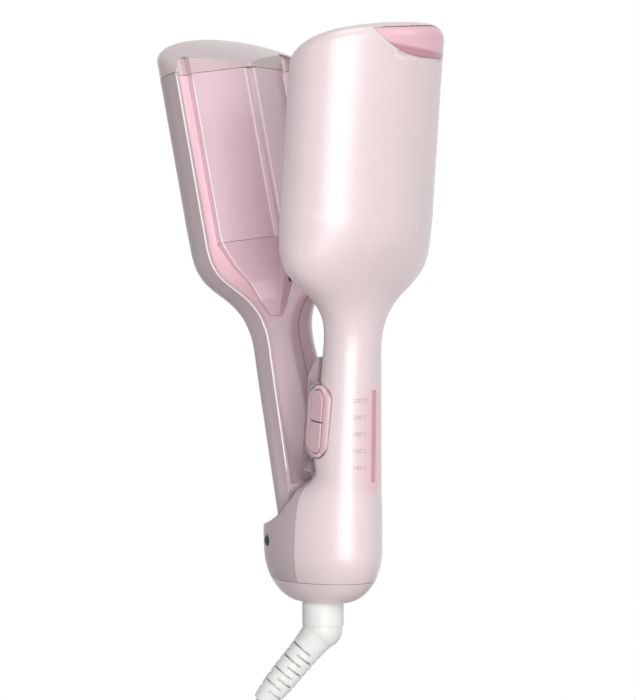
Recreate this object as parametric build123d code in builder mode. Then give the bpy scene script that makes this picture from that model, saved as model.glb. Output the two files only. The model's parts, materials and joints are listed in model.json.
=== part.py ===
"""Hair waver: two heated arms that nest, hinged in a rounded grip, on a swivel cord.

Millimetres, +Z up along the body, X across it, and -Y out of the main arm's face.
The origin is on the axis of the cord entry, level with the middle of the hand's grip.
"""

import os
from math import atan, cos, radians, sin, sqrt, tan

from build123d import *

# ---------------------------------------------------------------- driving dimensions
GRIP_HEIGHT = 85.0            # the origin, above the bottom of the casing
HINGE_HEIGHT = 40.0           # hinge axis, above the bottom of the casing
HINGE_Y = 2.0                 # hinge axis, behind the cord's axis
MAIN_LEAN = -5.5              # degrees, main arm's rim from upright, towards -Y
OPEN_ANGLE = 21.3             # degrees that the clamp arm opens

WALL = 2.2                    # casing walls
SEAM = 0.15                   # gap all round between a casing and what fits in it
RIM_SETBACK = 4.0             # main arm's rim plane, in front of the hinge axis
RIM_GAP = 2.4                 # between the two rims when closed
PARTING_Y = -7.4              # edge of the handle's front shell, from the hinge axis

TAIL_HALF = 18.3              # half widths of both arms, seen from the front
NECK_HALF = 14.2
HEAD_HALF = 42.0
NECK_STATION = 88.0           # stations are distances up an arm from the hinge axis
FLARE_START = 95.0
FLARE_END = 131.0
DEPTH_FLARE_END = 150.0       # the depth swells more slowly than the width
MAIN_TOP = (231.5, 13.0, 5.0, 4.0)                # domed top: station at the rim, rise to the
CLAMP_TOP = (230.0, 16.5, 1.0, 5.0)               # outer face, crown and drop at the sides
TOP_SHARES = (-0.4, 0.0, 0.4, 0.8, 1.2)           # where it is drawn, rim to outer face
MAIN_TOP_RADIUS, CLAMP_TOP_RADIUS = 6.0, 4.0      # rounding round its edge
TOP_REACH = 12.0
TOP_LIP = 6.0

TAIL_FRONT, NECK_FRONT, HEAD_FRONT = 31.7, 24.0, 36.6      # main arm, rim to outer face
TAIL_ROUND, NECK_ROUND, HEAD_ROUND = 17.1, 12.6, 29.0      # its oval's half depths
TRAY_DEPTH, BOWL_DEPTH = 16.0, 30.0                        # clamp arm, rim to outer face
TRAY_WALL, BOWL_WALL = 6.0, 5.0                            # straight part of its sides
TRAY_SQUARE, BOWL_SQUARE = 0.85, 0.62                      # how full its corners are

BLOCK_HALF_X = 24.0           # round block that holds the hinge
BLOCK_HALF_Y = 34.0
DOME_HEIGHT = 26.0            # its domed bottom
SHOULDER_END = 22.0           # station where the handle leaves the block
CAP_SEAM = 11.0               # height of the bottom cap's seam
ENTRY_RADIUS = 10.4           # cord entry in the bottom cap

LAND_DEPTH = 7.5              # clamp arm's floor, below its rim
FLOOR = 1.8                   # thickness of floors and frames
PLATE_HALF = 28.7             # heated plates
PLATE_START = 138.4
PLATE_LENGTH = 84.2
PLATE_WALL = 1.6
PLATE_GAP = 0.8               # between the two plates when closed
CHANNEL_END, CHANNEL_CORNER = 223.4, 8.1          # ends of the hollows beside the ridge
CREST_PROUD = 6.5             # ridge's crest, above the clamp arm's rim
CREST_RISE = 10.5             # and above the ridge's own edges
CREST_RADIUS = 12.0
EDGE_RADIUS = 1.2
SIDE_CREST = 2.6              # width of the rounded crests beside the groove

PROW_TIP = 101.5              # station where the ridge runs out
PROW_NOSE, PROW_WAIST, PROW_SHOULDER = 109.6, 118.5, 126.0
PROW_GAP = 0.9                # round the prow when closed
PROW_SCREW = 119.5
PROW_SCREW_X = 9.5
PROW_SCREW_RADIUS = 2.2
PROW_SCREW_LENGTH, PROW_SEAT, PROW_HEAD = 12.0, 1.2, 1.6
TONGUE_FRONT, TONGUE_TOP = -1.0, 22.0             # what joins the clamp arm to its knuckle

HEAT_SEAT = 2.1               # grooved plate, thickness at the heater's seat
SEAT_HALF = 11.0
HEATER_HALF, HEATER_LENGTH, HEATER_THICK = 10.0, 60.0, 3.0
RIDGE_HEATER_HALF = 8.0
CLIP_THICK = 0.6
CLIP_HALF = 7.0
THERMISTOR_SIZE = 4.0
FUSE_RADIUS, FUSE_LENGTH = 2.0, 11.0

SCREW_Y, SCREW_HEIGHT = 17.0, 29.5                # casing screws, in the block's sides
SCREW_RADIUS, SCREW_HEAD, SCREW_HOLE = 1.5, 2.5, 2.65
SCREW_LENGTH, SCREW_SINK = 6.8, 2.5
BOSS_WALL = 2.0
LUG_INNER, LUG_HALF = 10.4, 4.0                   # bottom cap's lugs, which they hold
PRESS = 0.02                  # round what is pressed or screwed in

BOARD_HALF, BOARD_THICK, BOARD_Y = 7.5, 1.6, -21.5
BOARD_START, BOARD_END = 18.0, 86.0
LED_COUNT, LED_HALF, LED_TALL = 5, 1.0, 3.0
LENS_THICK = 2.6
LENS_SINK = 0.1
INLAY_THICK, INLAY_RIM = 1.0, 1.2                 # and its upper edge, below the top
INLAY_LINE = [                # lower edge of the inlay: across, above the casing's bottom
    (-18.4, 281.9), (-10.9, 272.7), (0.0, 266.6), (10.9, 264.1), (21.0, 263.2), (29.7, 262.5),
    (42.0, 262.0),
]

PIN_RADIUS = 2.5
PIN_HALF = 21.0
BARREL_RADIUS = 6.5           # clamp arm's knuckle
KNUCKLE_HALF = 9.0
BUSH_WALL = 0.8
RUNNING = 0.05                # radial clearance of the hinge
BOSS_RADIUS = 6.0
BOSS_START = 10.6             # hinge bosses in the block, from here to its walls
SPRING_HALF = 3.2             # room for the spring between the knuckle's two halves
SPRING_WIRE = 1.2
SPRING_PITCH = 1.35
SLOT_GAP = 1.0                # round the knuckle
SLOT_BACK = 18.0
SPRING_RADIUS = 3.6           # middle of its wire
SLOT_HALF = 9.9               # opening that the knuckle's tongue moves in

WEB_HALF = 10.8               # web behind the main handle
WEB_DEPTH = 5.6               # behind its rim plane
WEB_START, WEB_TOP = 24.0, 80.0
WEB_SLOPE = 10.0              # its sloping upper end
SCOOP_DROP = 0.5              # room for the clamp arm's tail in the hollow behind the handle
BACK_Y = -2.4                 # the handle's flat back
SHELL_END = 97.0              # station where the rear shell ends, below the neck
TAIL_START = 4.0              # lower end of the clamp arm's tray
TAIL_ROUNDING = 14.0

BEZEL_STATION = 50.6          # middle of the button bezel
BEZEL_LENGTH = 35.2
BEZEL_WIDTH = 17.0
BEZEL_Y = -12.0               # its middle line, from the hinge axis
BEZEL_X = 16.6                # its face
POD_INNER, POD_SINK, POD_LAP, POD_RIM = 5.0, 1.6, 2.0, 1.1    # casing behind the bezel
BUTTON_SPLIT = 0.5            # gap between the two buttons
BUTTON_EDGE = 0.35            # gap round the buttons
BUTTON_PROUD = 0.7
BUTTON_TRAVEL = 0.8
BUTTON_THICK = 3.4
BEZEL_WALL = 2.0
BEZEL_CORNER, WINDOW_CORNER = 7.0, 5.6
BEZEL_DEPTH = 8.3             # face to button board
SWITCH_HALF, SWITCH_TALL = 2.6, 3.4
STEM_RADIUS = 1.4
STEM_GAP = 0.05               # between a stem and its switch

STRIP_STATION = 45.5          # indicator strip, middle
STRIP_LENGTH = 43.9
STRIP_WIDTH = 3.0
STRIP_X = 3.5

COLLAR_RADIUS = 10.0
COLLAR_LENGTH = 11.6
COLLAR_FLANGE = 2.0
ELBOW_DROP = 13.4             # where the cord turns, below the casing
LEAD_RUN, TAIL_RUN = 12.0, 34.0
CORD_ARC = 0.45               # share of a run that an arc takes up
CORD_GAP = 0.3
HANK_BURY = 12.0
TIE_THICK, TIE_WIDTH = 1.2, 8.0
PLUG_WIDTH, PLUG_DEPTH, PLUG_LENGTH = 35.0, 13.5, 38.0
COLLAR_NECK = 8.0             # its groove, which the retainer holds
RETAINER_RADIUS = 13.0
RETAINER_HEIGHT, RETAINER_THICK, RETAINER_GAP = 4.0, 2.0, 0.3
NECK_CAP_Y = -4.6             # face of the cover below the grooved plate
RELIEF_BEND = 39.0            # degrees from straight down
RELIEF_AZIMUTH = 140.0        # degrees from +X, the way that it bends
RELIEF_BALL = 9.5             # where it leaves the collar
RELIEF_STEPS = ((0.0, 9.3), (11.0, 7.7), (26.0, 7.2), (46.0, 5.2))       # place and radius
SLOT_COUNT, SLOT_FIRST, SLOT_PITCH, SLOT_WIDE = 8, 13.0, 3.7, 0.9
SLOT_RIB, SLOT_TURN = 5.0, 40.0                   # ribs left in each ring, and their direction
CORD_RADIUS = 3.5
HANK_RUN = 105.0
HANK_FOLD = 21.0              # bend radius of the cord at the hank's folds
HANK_LAYERS = 5
PLUG_PIN_RADIUS = 2.0
PLUG_PIN_LENGTH = 19.0
PLUG_PITCH = 18.6

# ---------------------------------------------------------------- derived places
CLAMP_LEAN = MAIN_LEAN + OPEN_ANGLE
CLAMP_SETBACK = RIM_SETBACK - RIM_GAP
PLATE_END = PLATE_START + PLATE_LENGTH
HEAD_TOP = MAIN_TOP[0] + MAIN_TOP[1] + 4 * TOP_REACH
HINGE_Z = HINGE_HEIGHT - GRIP_HEIGHT
CREST_Y = -CLAMP_SETBACK - CREST_PROUD            # ridge's crest, from the hinge axis
CORNER_Y = CREST_Y + CREST_RISE                   # ridge's edges
LAND_Y = -CLAMP_SETBACK + LAND_DEPTH              # clamp arm's floor
FRAME_Y = -RIM_SETBACK - 1.0                      # main arm's frame
FRAME_BACK = FRAME_Y - FLOOR
SEAT_Y = CREST_Y - PLATE_GAP - HEAT_SEAT          # heater's seat on the grooved plate
RIDGE_SEAT_Y = CREST_Y + PLATE_WALL + RIDGE_HEATER_HALF * CREST_RISE / PLATE_HALF + SEAM
PLATE_MIDDLE = PLATE_START + PLATE_LENGTH / 2
GROOVE_OUTER = PLATE_HALF + SIDE_CREST

# ---------------------------------------------------------------- planes
SIDE = Plane(origin=(0, 0, -GRIP_HEIGHT), x_dir=(0, 1, 0), z_dir=(1, 0, 0))


def level(height):
    """The horizontal plane at a height above the casing's bottom."""
    return Plane.XY.offset(height - GRIP_HEIGHT)


def arm_point(lean, x, y, station):
    """A point given across, behind the hinge axis and up a leaning arm."""
    turn = radians(lean)
    return Vector(
        x,
        HINGE_Y + station * sin(turn) + y * cos(turn),
        HINGE_Z + station * cos(turn) - y * sin(turn),
    )


def arm_section(lean, station):
    """The plane across an arm; its local y points back, away from the face."""
    turn = radians(lean)
    return Plane(
        origin=arm_point(lean, 0, 0, station), x_dir=(1, 0, 0), z_dir=(0, sin(turn), cos(turn))
    )


def arm_side(lean, x=0.0):
    """The plane along an arm seen from its side: local x points back, local y up."""
    turn = radians(lean)
    return Plane(
        origin=arm_point(lean, x, 0, 0), x_dir=(0, cos(turn), -sin(turn)), z_dir=(1, 0, 0)
    )


def arm_face(lean, y):
    """The plane of an arm's face, y behind the hinge axis; its normal points forward."""
    turn = radians(lean)
    return Plane(
        origin=arm_point(lean, 0, y, 0), x_dir=(1, 0, 0), z_dir=(0, -cos(turn), sin(turn))
    )


# ---------------------------------------------------------------- shared shapes
def smooth(start, end, station):
    """0 before start, 1 after end, and an even S between."""
    t = min(max((station - start) / (end - start), 0.0), 1.0)
    return t * t * (3 - 2 * t)


def taper(tail, neck, head, station, flare_end=DEPTH_FLARE_END):
    """A size that tapers from the tail to the neck and swells to the head."""
    grip = tail + (neck - tail) * min(station / NECK_STATION, 1.0)
    return grip + (head - neck) * smooth(FLARE_START, flare_end, station)


def arm_half(station):
    """Half of an arm's width."""
    return taper(TAIL_HALF, NECK_HALF, HEAD_HALF, station, FLARE_END)


def arm_stations(tail):
    """Stations of an arm's sections in three runs: handle, flare and head."""
    count = 7
    last = DEPTH_FLARE_END + 4
    step = (last - FLARE_START) / (count - 1)
    flare = [FLARE_START + step * i for i in range(count)]
    return [[tail, FLARE_START], flare, [last, HEAD_TOP]]


def oval(plane, centre, half_x, half_y):
    """An oval section, split at its widest points."""
    with BuildSketch(plane) as section:
        with BuildLine():
            EllipticalCenterArc((0, centre), half_x, half_y, 0, arc_size=180)
            EllipticalCenterArc((0, centre), half_x, half_y, 180, arc_size=180)
        make_face()
    return section.sketch


def prism(plane, points, half_width):
    """A flat-sided solid, drawn as a polygon and drawn out both ways."""
    with BuildPart() as block:
        with BuildSketch(plane):
            with BuildLine():
                Polyline(*points, close=True)
            make_face()
        extrude(amount=half_width, both=True)
    return block.part


def block_dome(inset):
    """The block's domed bottom, up to where its sides are upright."""
    crown = ENTRY_RADIUS - 2
    with BuildPart() as dome:
        with BuildSketch(SIDE):
            with BuildLine():
                Line((0, DOME_HEIGHT), (0, inset))
                Line((0, inset), (crown, inset))
                EllipticalCenterArc(
                    (crown, DOME_HEIGHT), BLOCK_HALF_X - inset - crown, DOME_HEIGHT - inset,
                    270, arc_size=90,
                )
                Line((BLOCK_HALF_X - inset, DOME_HEIGHT), (0, DOME_HEIGHT))
            make_face()
        revolve(axis=Axis.Z)
    stretch = (BLOCK_HALF_Y - inset) / (BLOCK_HALF_X - inset)
    return scale(dome.part, by=(1, stretch, 1))


def main_oval(station, inset):
    """A section of the main arm, drawn in by inset."""
    half_y = taper(TAIL_ROUND, NECK_ROUND, HEAD_ROUND, station)
    front = taper(TAIL_FRONT, NECK_FRONT, HEAD_FRONT, station)
    plane = arm_section(MAIN_LEAN, station)
    return oval(plane, half_y - front - RIM_SETBACK, arm_half(station) - inset, half_y - inset)


def main_form(inset):
    """The main arm's outside, drawn in by inset: block, handle, neck and head."""
    half_x = BLOCK_HALF_X - inset
    half_y = BLOCK_HALF_Y - inset
    shoulder = [
        oval(level(DOME_HEIGHT), 0, half_x, half_y),
        oval(level(DOME_HEIGHT + 11), 0, half_x, half_y),
        oval(level(DOME_HEIGHT + 22), -3.5, half_x - 1.4, half_y - 3.5),
        main_oval(SHOULDER_END, inset),
        main_oval(SHOULDER_END + 8, inset),
    ]
    with BuildPart() as form:
        add(block_dome(inset))
        loft(sections=shoulder)
        for run in arm_stations(SHOULDER_END + 8):
            loft(sections=[main_oval(station, inset) for station in run])
    return form.part


def bowl(station, inset, lean):
    """A section of the clamp arm: straight sides and a rounded back, open at the front."""
    half = arm_half(station) - inset
    back = taper(TRAY_DEPTH, TRAY_DEPTH, BOWL_DEPTH, station) - inset
    wall = taper(TRAY_WALL, TRAY_WALL, BOWL_WALL, station)
    square = taper(TRAY_SQUARE, TRAY_SQUARE, BOWL_SQUARE, station)
    front = -CLAMP_SETBACK
    reach = wall + square * (back - wall)
    with BuildSketch(arm_section(lean, station)) as section:
        with BuildLine():
            Line((-half, front), (half, front))
            Line((half, front), (half, front + wall))
            Bezier(
                (half, front + wall), (half, front + reach),
                (square * half, front + back), (0, front + back),
            )
            Bezier(
                (0, front + back), (-square * half, front + back),
                (-half, front + reach), (-half, front + wall),
            )
            Line((-half, front + wall), (-half, front))
        make_face()
    return section.sketch


def clamp_form(inset, lean=CLAMP_LEAN):
    """The clamp arm's outside, drawn in by inset at its sides and back."""
    with BuildPart() as form:
        for run in arm_stations(0.0):
            loft(sections=[bowl(station, inset, lean) for station in run])
    return form.part


def above_top(lean, setback, outward, depth, top, lower=0.0):
    """All that lies above an arm's domed top; outward is -1 or 1, the way its back faces."""
    start, rise, crown, drop = top
    ceiling = HEAD_TOP + TOP_REACH
    half = HEAD_HALF + TOP_LIP
    arches = []
    for share in TOP_SHARES:
        station = start - lower + rise * share + 4 * crown * share * (1 - share)
        with BuildSketch(arm_face(lean, -setback + outward * depth * share)) as arch:
            with BuildLine():
                Spline(*[
                    (half * x, station - drop * (half * x / HEAD_HALF) ** 2)
                    for x in (-1, -0.67, -0.33, 0, 0.33, 0.67, 1)
                ])
                Polyline(
                    (half, station - drop * (half / HEAD_HALF) ** 2), (half, ceiling), (-half, ceiling),
                    (-half, station - drop * (half / HEAD_HALF) ** 2),
                )
            make_face()
        arches.append(arch.sketch)
    with BuildPart() as block:
        loft(sections=arches)
    return block.part


def domed(form, lean, setback, outward, depth, top, radius, inset):
    """A form drawn in by inset, with its domed top cut and rounded at the outer edge."""
    with BuildPart() as body:
        add(form)
        add(above_top(lean, setback, outward, depth, top, inset), mode=Mode.SUBTRACT)
        edges = body.faces().sort_by(Axis.Z)[-1].edges().sort_by(Axis.Y)
        fillet(edges[0 if outward < 0 else -1], radius - inset)
    return body.part


def side_block(lean, points, half=2 * HEAD_HALF):
    """A block across an arm, drawn from its side as (behind the hinge axis, station)."""
    return prism(arm_side(lean), points, half)


def layer(lean, front, back, low, high, half=2 * HEAD_HALF):
    """A block between two depths and two stations of an arm."""
    return side_block(lean, [(front, low), (back, low), (back, high), (front, high)], half)


def offset_layer(lean, centre_x, half, front, back, low, high):
    """A layer whose middle is set to one side."""
    return prism(
        arm_side(lean, centre_x), [(front, low), (back, low), (back, high), (front, high)], half
    )


def rod(plane, centre, radius, start, length):
    """A round rod standing off a plane."""
    with BuildPart() as body:
        with BuildSketch(plane.offset(start)):
            with Locations(centre):
                Circle(radius)
        extrude(amount=length)
    return body.part


def ridge_section(lean, station, half, crest, corner, base, radius):
    """Two slopes to a rounded crest, with upright edges down to a base."""
    slope = atan((corner - crest) / half)
    apex = crest - radius * (1 / cos(slope) - 1)
    touch = radius * sin(slope)
    flank = apex + touch * tan(slope)
    with BuildSketch(arm_section(lean, station)) as section:
        with BuildLine():
            Polyline((-half, corner), (-half, base), (half, base), (half, corner), (touch, flank))
            ThreePointArc((touch, flank), (0, crest), (-touch, flank))
            Line((-touch, flank), (-half, corner))
        make_face()
    return section.sketch


def ridge(lean, low, high, lift=0.0, thin=0.0, base=LAND_Y):
    """The long ridge of the heated plate; lift moves it back and thin makes it smaller."""
    with BuildPart() as body:
        loft(sections=[
            ridge_section(
                lean, station, PLATE_HALF - thin, CREST_Y + lift, CORNER_Y + lift, base, CREST_RADIUS
            )
            for station in (low, high)
        ])
    return body.part


def prow(lean, grow=0.0):
    """The ridge's lower end, which narrows to a point on the floor."""
    steps = (
        (PLATE_START - SEAM + grow, PLATE_HALF, LAND_Y - CREST_Y, LAND_Y - CORNER_Y),
        (PROW_SHOULDER, 21.0, 10.6, 2.7),
        (PROW_WAIST, 13.6, 8.0, 2.0),
        (PROW_NOSE, 9.0, 5.4, 1.4),
        (PROW_TIP - grow, 3.5, 1.6, 0.6),
    )
    with BuildPart() as body:
        loft(sections=[
            ridge_section(
                lean, station, half + grow, LAND_Y - crest - grow, LAND_Y - corner - grow,
                LAND_Y + grow, CREST_RADIUS * half / PLATE_HALF,
            )
            for station, half, crest, corner in steps
        ], ruled=True)
    return body.part


def groove_section(station, solid=False):
    """The grooved plate's section: the ridge's shape, a gap away, between two side crests."""
    bottom = CREST_Y - PLATE_GAP
    edge = CORNER_Y - PLATE_GAP
    slope = (edge - bottom) / PLATE_HALF
    reach = CREST_RADIUS * sin(atan(slope))
    flank = bottom + slope * reach - CREST_RADIUS * (1 / cos(atan(slope)) - 1)
    inner = GROOVE_OUTER - PLATE_WALL
    step = edge - slope * SIDE_CREST - PLATE_WALL
    under = bottom + slope * SEAT_HALF - PLATE_WALL
    with BuildSketch(arm_section(MAIN_LEAN, station)) as section:
        with BuildLine():
            Polyline((-reach, flank), (-PLATE_HALF, edge), (-GROOVE_OUTER, edge), (-GROOVE_OUTER, FRAME_BACK))
            if solid:
                Polyline((-GROOVE_OUTER, FRAME_BACK), (-GROOVE_OUTER, SEAT_Y), (GROOVE_OUTER, SEAT_Y),
                         (GROOVE_OUTER, FRAME_BACK))
            else:
                Polyline(
                    (-GROOVE_OUTER, FRAME_BACK), (-inner, FRAME_BACK), (-inner, step),
                    (-SEAT_HALF, under), (-SEAT_HALF, SEAT_Y), (SEAT_HALF, SEAT_Y),
                    (SEAT_HALF, under), (inner, step), (inner, FRAME_BACK), (GROOVE_OUTER, FRAME_BACK),
                )
            Polyline((GROOVE_OUTER, FRAME_BACK), (GROOVE_OUTER, edge), (PLATE_HALF, edge), (reach, flank))
            ThreePointArc((reach, flank), (0, bottom), (-reach, flank))
        make_face()
        crests = [v for v in section.vertices() if abs(v.Y - edge) < 0.01]
        fillet(crests, EDGE_RADIUS)
    return section.sketch


def groove(low, high, solid=False):
    """The grooved plate's section, drawn out between two stations."""
    with BuildPart() as body:
        loft(sections=[groove_section(low, solid), groove_section(high, solid)])
    return body.part


# ---------------------------------------------------------------- dividing surfaces
def front_region(gap=0.0):
    """What the main arm's front shell may fill: all that lies before the parting line."""
    far = -3 * HEAD_HALF
    line = [
        (-12.2, -DOME_HEIGHT - HINGE_HEIGHT), (-8.3, 8.0), (PARTING_Y, 20.0),
        (PARTING_Y, SHELL_END - 5), (-RIM_SETBACK, SHELL_END), (-RIM_SETBACK, HEAD_TOP),
    ]
    front = [(y - gap, station) for y, station in line]
    return side_block(MAIN_LEAN, [(far, line[0][1])] + front + [(far, HEAD_TOP)])


def scoop(grow=0.0):
    """The hollow behind the main handle, which the clamp arm's tail swings in."""
    back = 2 * BLOCK_HALF_Y
    with BuildPart() as block:
        with BuildSketch(arm_side(MAIN_LEAN)):
            with BuildLine():
                Polyline((1.0 - grow, 7.3 - SCOOP_DROP - grow), (BACK_Y - grow, 11.5), (BACK_Y - grow, SHELL_END))
                Polyline((BACK_Y - grow, SHELL_END), (-RIM_SETBACK, SHELL_END), (-RIM_SETBACK, HEAD_TOP))
                Polyline((-RIM_SETBACK, HEAD_TOP), (back, HEAD_TOP), (back, -9.5 - SCOOP_DROP - grow))
                Spline(
                    (back, -9.5 - SCOOP_DROP - grow), (34.0, -6.9 - SCOOP_DROP - grow),
                    (17.8, -3.6 - SCOOP_DROP - grow), (8.1, 0.9 - SCOOP_DROP - grow),
                    (1.0 - grow, 7.3 - SCOOP_DROP - grow),
                )
            make_face()
        extrude(amount=2 * HEAD_HALF, both=True)
    return block.part


def below(height):
    """All that lies below a height."""
    reach = 3 * BLOCK_HALF_Y
    return prism(SIDE, [(-reach, -reach), (reach, -reach), (reach, height), (-reach, height)], reach)


def tail_cut(grow=0.0):
    """What is rounded off the clamp arm's lower end."""
    radius = TAIL_ROUNDING - grow
    centre = (-CLAMP_SETBACK + TAIL_ROUNDING, TAIL_START + TAIL_ROUNDING)
    low = -2 * TAIL_ROUNDING
    with BuildPart() as block:
        with BuildSketch(arm_side(CLAMP_LEAN)):
            with BuildLine():
                ThreePointArc(
                    (centre[0], centre[1] - radius),
                    (centre[0] - radius * sin(radians(45)), centre[1] - radius * cos(radians(45))),
                    (centre[0] - radius, centre[1]),
                )
                Polyline(
                    (centre[0] - radius, centre[1]), (low, centre[1]), (low, low), (-low, low),
                    (-low, centre[1] - radius), (centre[0], centre[1] - radius),
                )
            make_face()
        extrude(amount=2 * HEAD_HALF, both=True)
    return block.part


def inlay_region(shrink=0.0):
    """The inlay's outline in the main head's face, drawn out forward."""
    low = shrink - GRIP_HEIGHT
    line = [(x, height + low) for x, height in INLAY_LINE]
    far = HEAD_HALF + TOP_REACH
    with BuildPart() as block:
        with BuildSketch(Plane.XZ.offset(-GRIP_HEIGHT)):
            with BuildLine():
                Spline(line)
                Polyline(
                    line[-1], (far, line[-1][1]), (far, HEAD_TOP), (line[0][0], HEAD_TOP), line[0],
                )
            make_face()
        extrude(amount=3 * GRIP_HEIGHT, both=True)
        add(
            above_top(MAIN_LEAN, RIM_SETBACK, -1, HEAD_FRONT, MAIN_TOP, INLAY_RIM + shrink),
            mode=Mode.SUBTRACT,
        )
    return block.part


def main_casing(inset=0.0):
    """The main arm's outside, drawn in by inset, cut at its rim and with its rounded top."""
    with BuildPart() as form:
        add(main_form(inset))
        add(scoop(), mode=Mode.SUBTRACT)
    return domed(
        form.part, MAIN_LEAN, RIM_SETBACK, -1, HEAD_FRONT, MAIN_TOP, MAIN_TOP_RADIUS, inset
    )


def clamp_casing(inset=0.0):
    """The clamp arm's outside, drawn in by inset, with its rounded top."""
    return domed(
        clamp_form(inset), CLAMP_LEAN, CLAMP_SETBACK, 1, BOWL_DEPTH, CLAMP_TOP, CLAMP_TOP_RADIUS, inset
    )


def rounded(x, half, width, low, high, corner):
    """A plate on the main arm's side, round its buttons' middle line, with rounded corners."""
    with BuildPart() as body:
        with BuildSketch(arm_side(MAIN_LEAN, x)):
            with Locations((BEZEL_Y, (low + high) / 2)):
                RectangleRounded(width, high - low, corner)
        extrude(amount=half, both=True)
    return body.part


def channel():
    """The room before the clamp arm's floor, with its two rounded upper corners."""
    half = HEAD_HALF - WALL
    with BuildPart() as body:
        with BuildSketch(arm_face(CLAMP_LEAN, LAND_Y)):
            with BuildLine():
                Polyline((-half, CHANNEL_END), (-half, 0), (half, 0), (half, CHANNEL_END))
                EllipticalCenterArc(
                    (PLATE_HALF, CHANNEL_END), half - PLATE_HALF, CHANNEL_CORNER, 0, arc_size=90
                )
                Polyline(
                    (PLATE_HALF, CHANNEL_END + CHANNEL_CORNER), (PLATE_HALF, HEAD_TOP),
                    (-PLATE_HALF, HEAD_TOP), (-PLATE_HALF, CHANNEL_END + CHANNEL_CORNER),
                )
                EllipticalCenterArc(
                    (-PLATE_HALF, CHANNEL_END), half - PLATE_HALF, CHANNEL_CORNER, 90, arc_size=90
                )
            make_face()
        extrude(amount=LAND_DEPTH + WALL)
    return body.part


# ---------------------------------------------------------------- main arm: casing
main_outside = main_form(0)
main_inside = main_form(WALL)
main_lining = main_form(WALL + SEAM)
casing = main_casing()
bezel_low = BEZEL_STATION - BEZEL_LENGTH / 2
bezel_high = BEZEL_STATION + BEZEL_LENGTH / 2
bezel_front = BEZEL_Y - BEZEL_WIDTH / 2
bezel_back = BEZEL_Y + BEZEL_WIDTH / 2
bezel_pocket = rounded(
    -BEZEL_X, BEZEL_DEPTH + BOARD_THICK + SEAM, BEZEL_WIDTH + 2 * SEAM, bezel_low - SEAM,
    bezel_high + SEAM, BEZEL_CORNER + SEAM,
)
pod_half = (BEZEL_X - POD_INNER) / 2


def pod(gap=0.0):
    """The rear shell's wall behind the bezel."""
    rim = POD_RIM + gap
    with BuildPart() as wall:
        add(rounded(
            -POD_INNER - pod_half + POD_SINK, pod_half + gap, BEZEL_WIDTH + 2 * rim, bezel_low - rim,
            bezel_high + rim, BEZEL_CORNER + rim,
        ))
        add(layer(
            MAIN_LEAN, PARTING_Y - POD_LAP - gap, BACK_Y, bezel_low - 2 * rim, bezel_high + 2 * rim,
        ), mode=Mode.INTERSECT)
    return wall.part


strip_slot = offset_layer(
    MAIN_LEAN, STRIP_X, STRIP_WIDTH / 2, -2 * HEAD_FRONT, -RIM_SETBACK - NECK_FRONT / 2,
    STRIP_STATION - STRIP_LENGTH / 2, STRIP_STATION + STRIP_LENGTH / 2,
)

heel_plane = Plane(origin=(0, HINGE_Y, HINGE_Z), x_dir=(0, 1, 0), z_dir=(1, 0, 0))
screw_face = BLOCK_HALF_X * sqrt(1 - (SCREW_Y / BLOCK_HALF_Y) ** 2) - SCREW_SINK
screw_seat = screw_face - SCREW_HEAD


def cross_rod(side, radius, near, far):
    """A rod on a casing screw's axis, between two distances from the middle."""
    start = near if side > 0 else -far
    return rod(SIDE, (SCREW_Y, SCREW_HEIGHT), radius, start, far - near)


with BuildPart(mode=Mode.PRIVATE) as main_hollow:
    add(main_inside)
    add(scoop(WALL), mode=Mode.SUBTRACT)

with BuildPart() as main_outer_shell:
    add(casing)
    add(front_region(SEAM), mode=Mode.INTERSECT)
    add(below(CAP_SEAM + SEAM), mode=Mode.SUBTRACT)
    add(main_casing(WALL), mode=Mode.SUBTRACT)
    add(layer(
        MAIN_LEAN, SEAT_Y - SEAM, CORNER_Y, PLATE_END, HEAD_TOP, GROOVE_OUTER + SEAM,
    ), mode=Mode.SUBTRACT)
    for side in (-1, 1):
        with BuildPart(mode=Mode.PRIVATE) as rail:
            add(main_form(WALL / 2))
            add(offset_layer(
                MAIN_LEAN, side * (BOARD_HALF - WALL / 2), WALL / 2, -2 * HEAD_FRONT, BOARD_Y - BOARD_THICK,
                BOARD_START, BOARD_END,
            ), mode=Mode.INTERSECT)
        add(rail.part)
    add(bezel_pocket, mode=Mode.SUBTRACT)
    add(pod(SEAM), mode=Mode.SUBTRACT)
    add(strip_slot, mode=Mode.SUBTRACT)
    with BuildPart(mode=Mode.PRIVATE) as pocket:
        add(inlay_region())
        add(main_casing(INLAY_THICK + SEAM), mode=Mode.SUBTRACT)
    add(pocket.part, mode=Mode.SUBTRACT)
main_outer_shell.part.label = "main_outer_shell"

with BuildPart() as tip_inlay:
    add(casing)
    add(inlay_region(SEAM), mode=Mode.INTERSECT)
    add(front_region(SEAM), mode=Mode.INTERSECT)
    add(main_casing(INLAY_THICK), mode=Mode.SUBTRACT)
tip_inlay.part.label = "tip_inlay"

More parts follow.
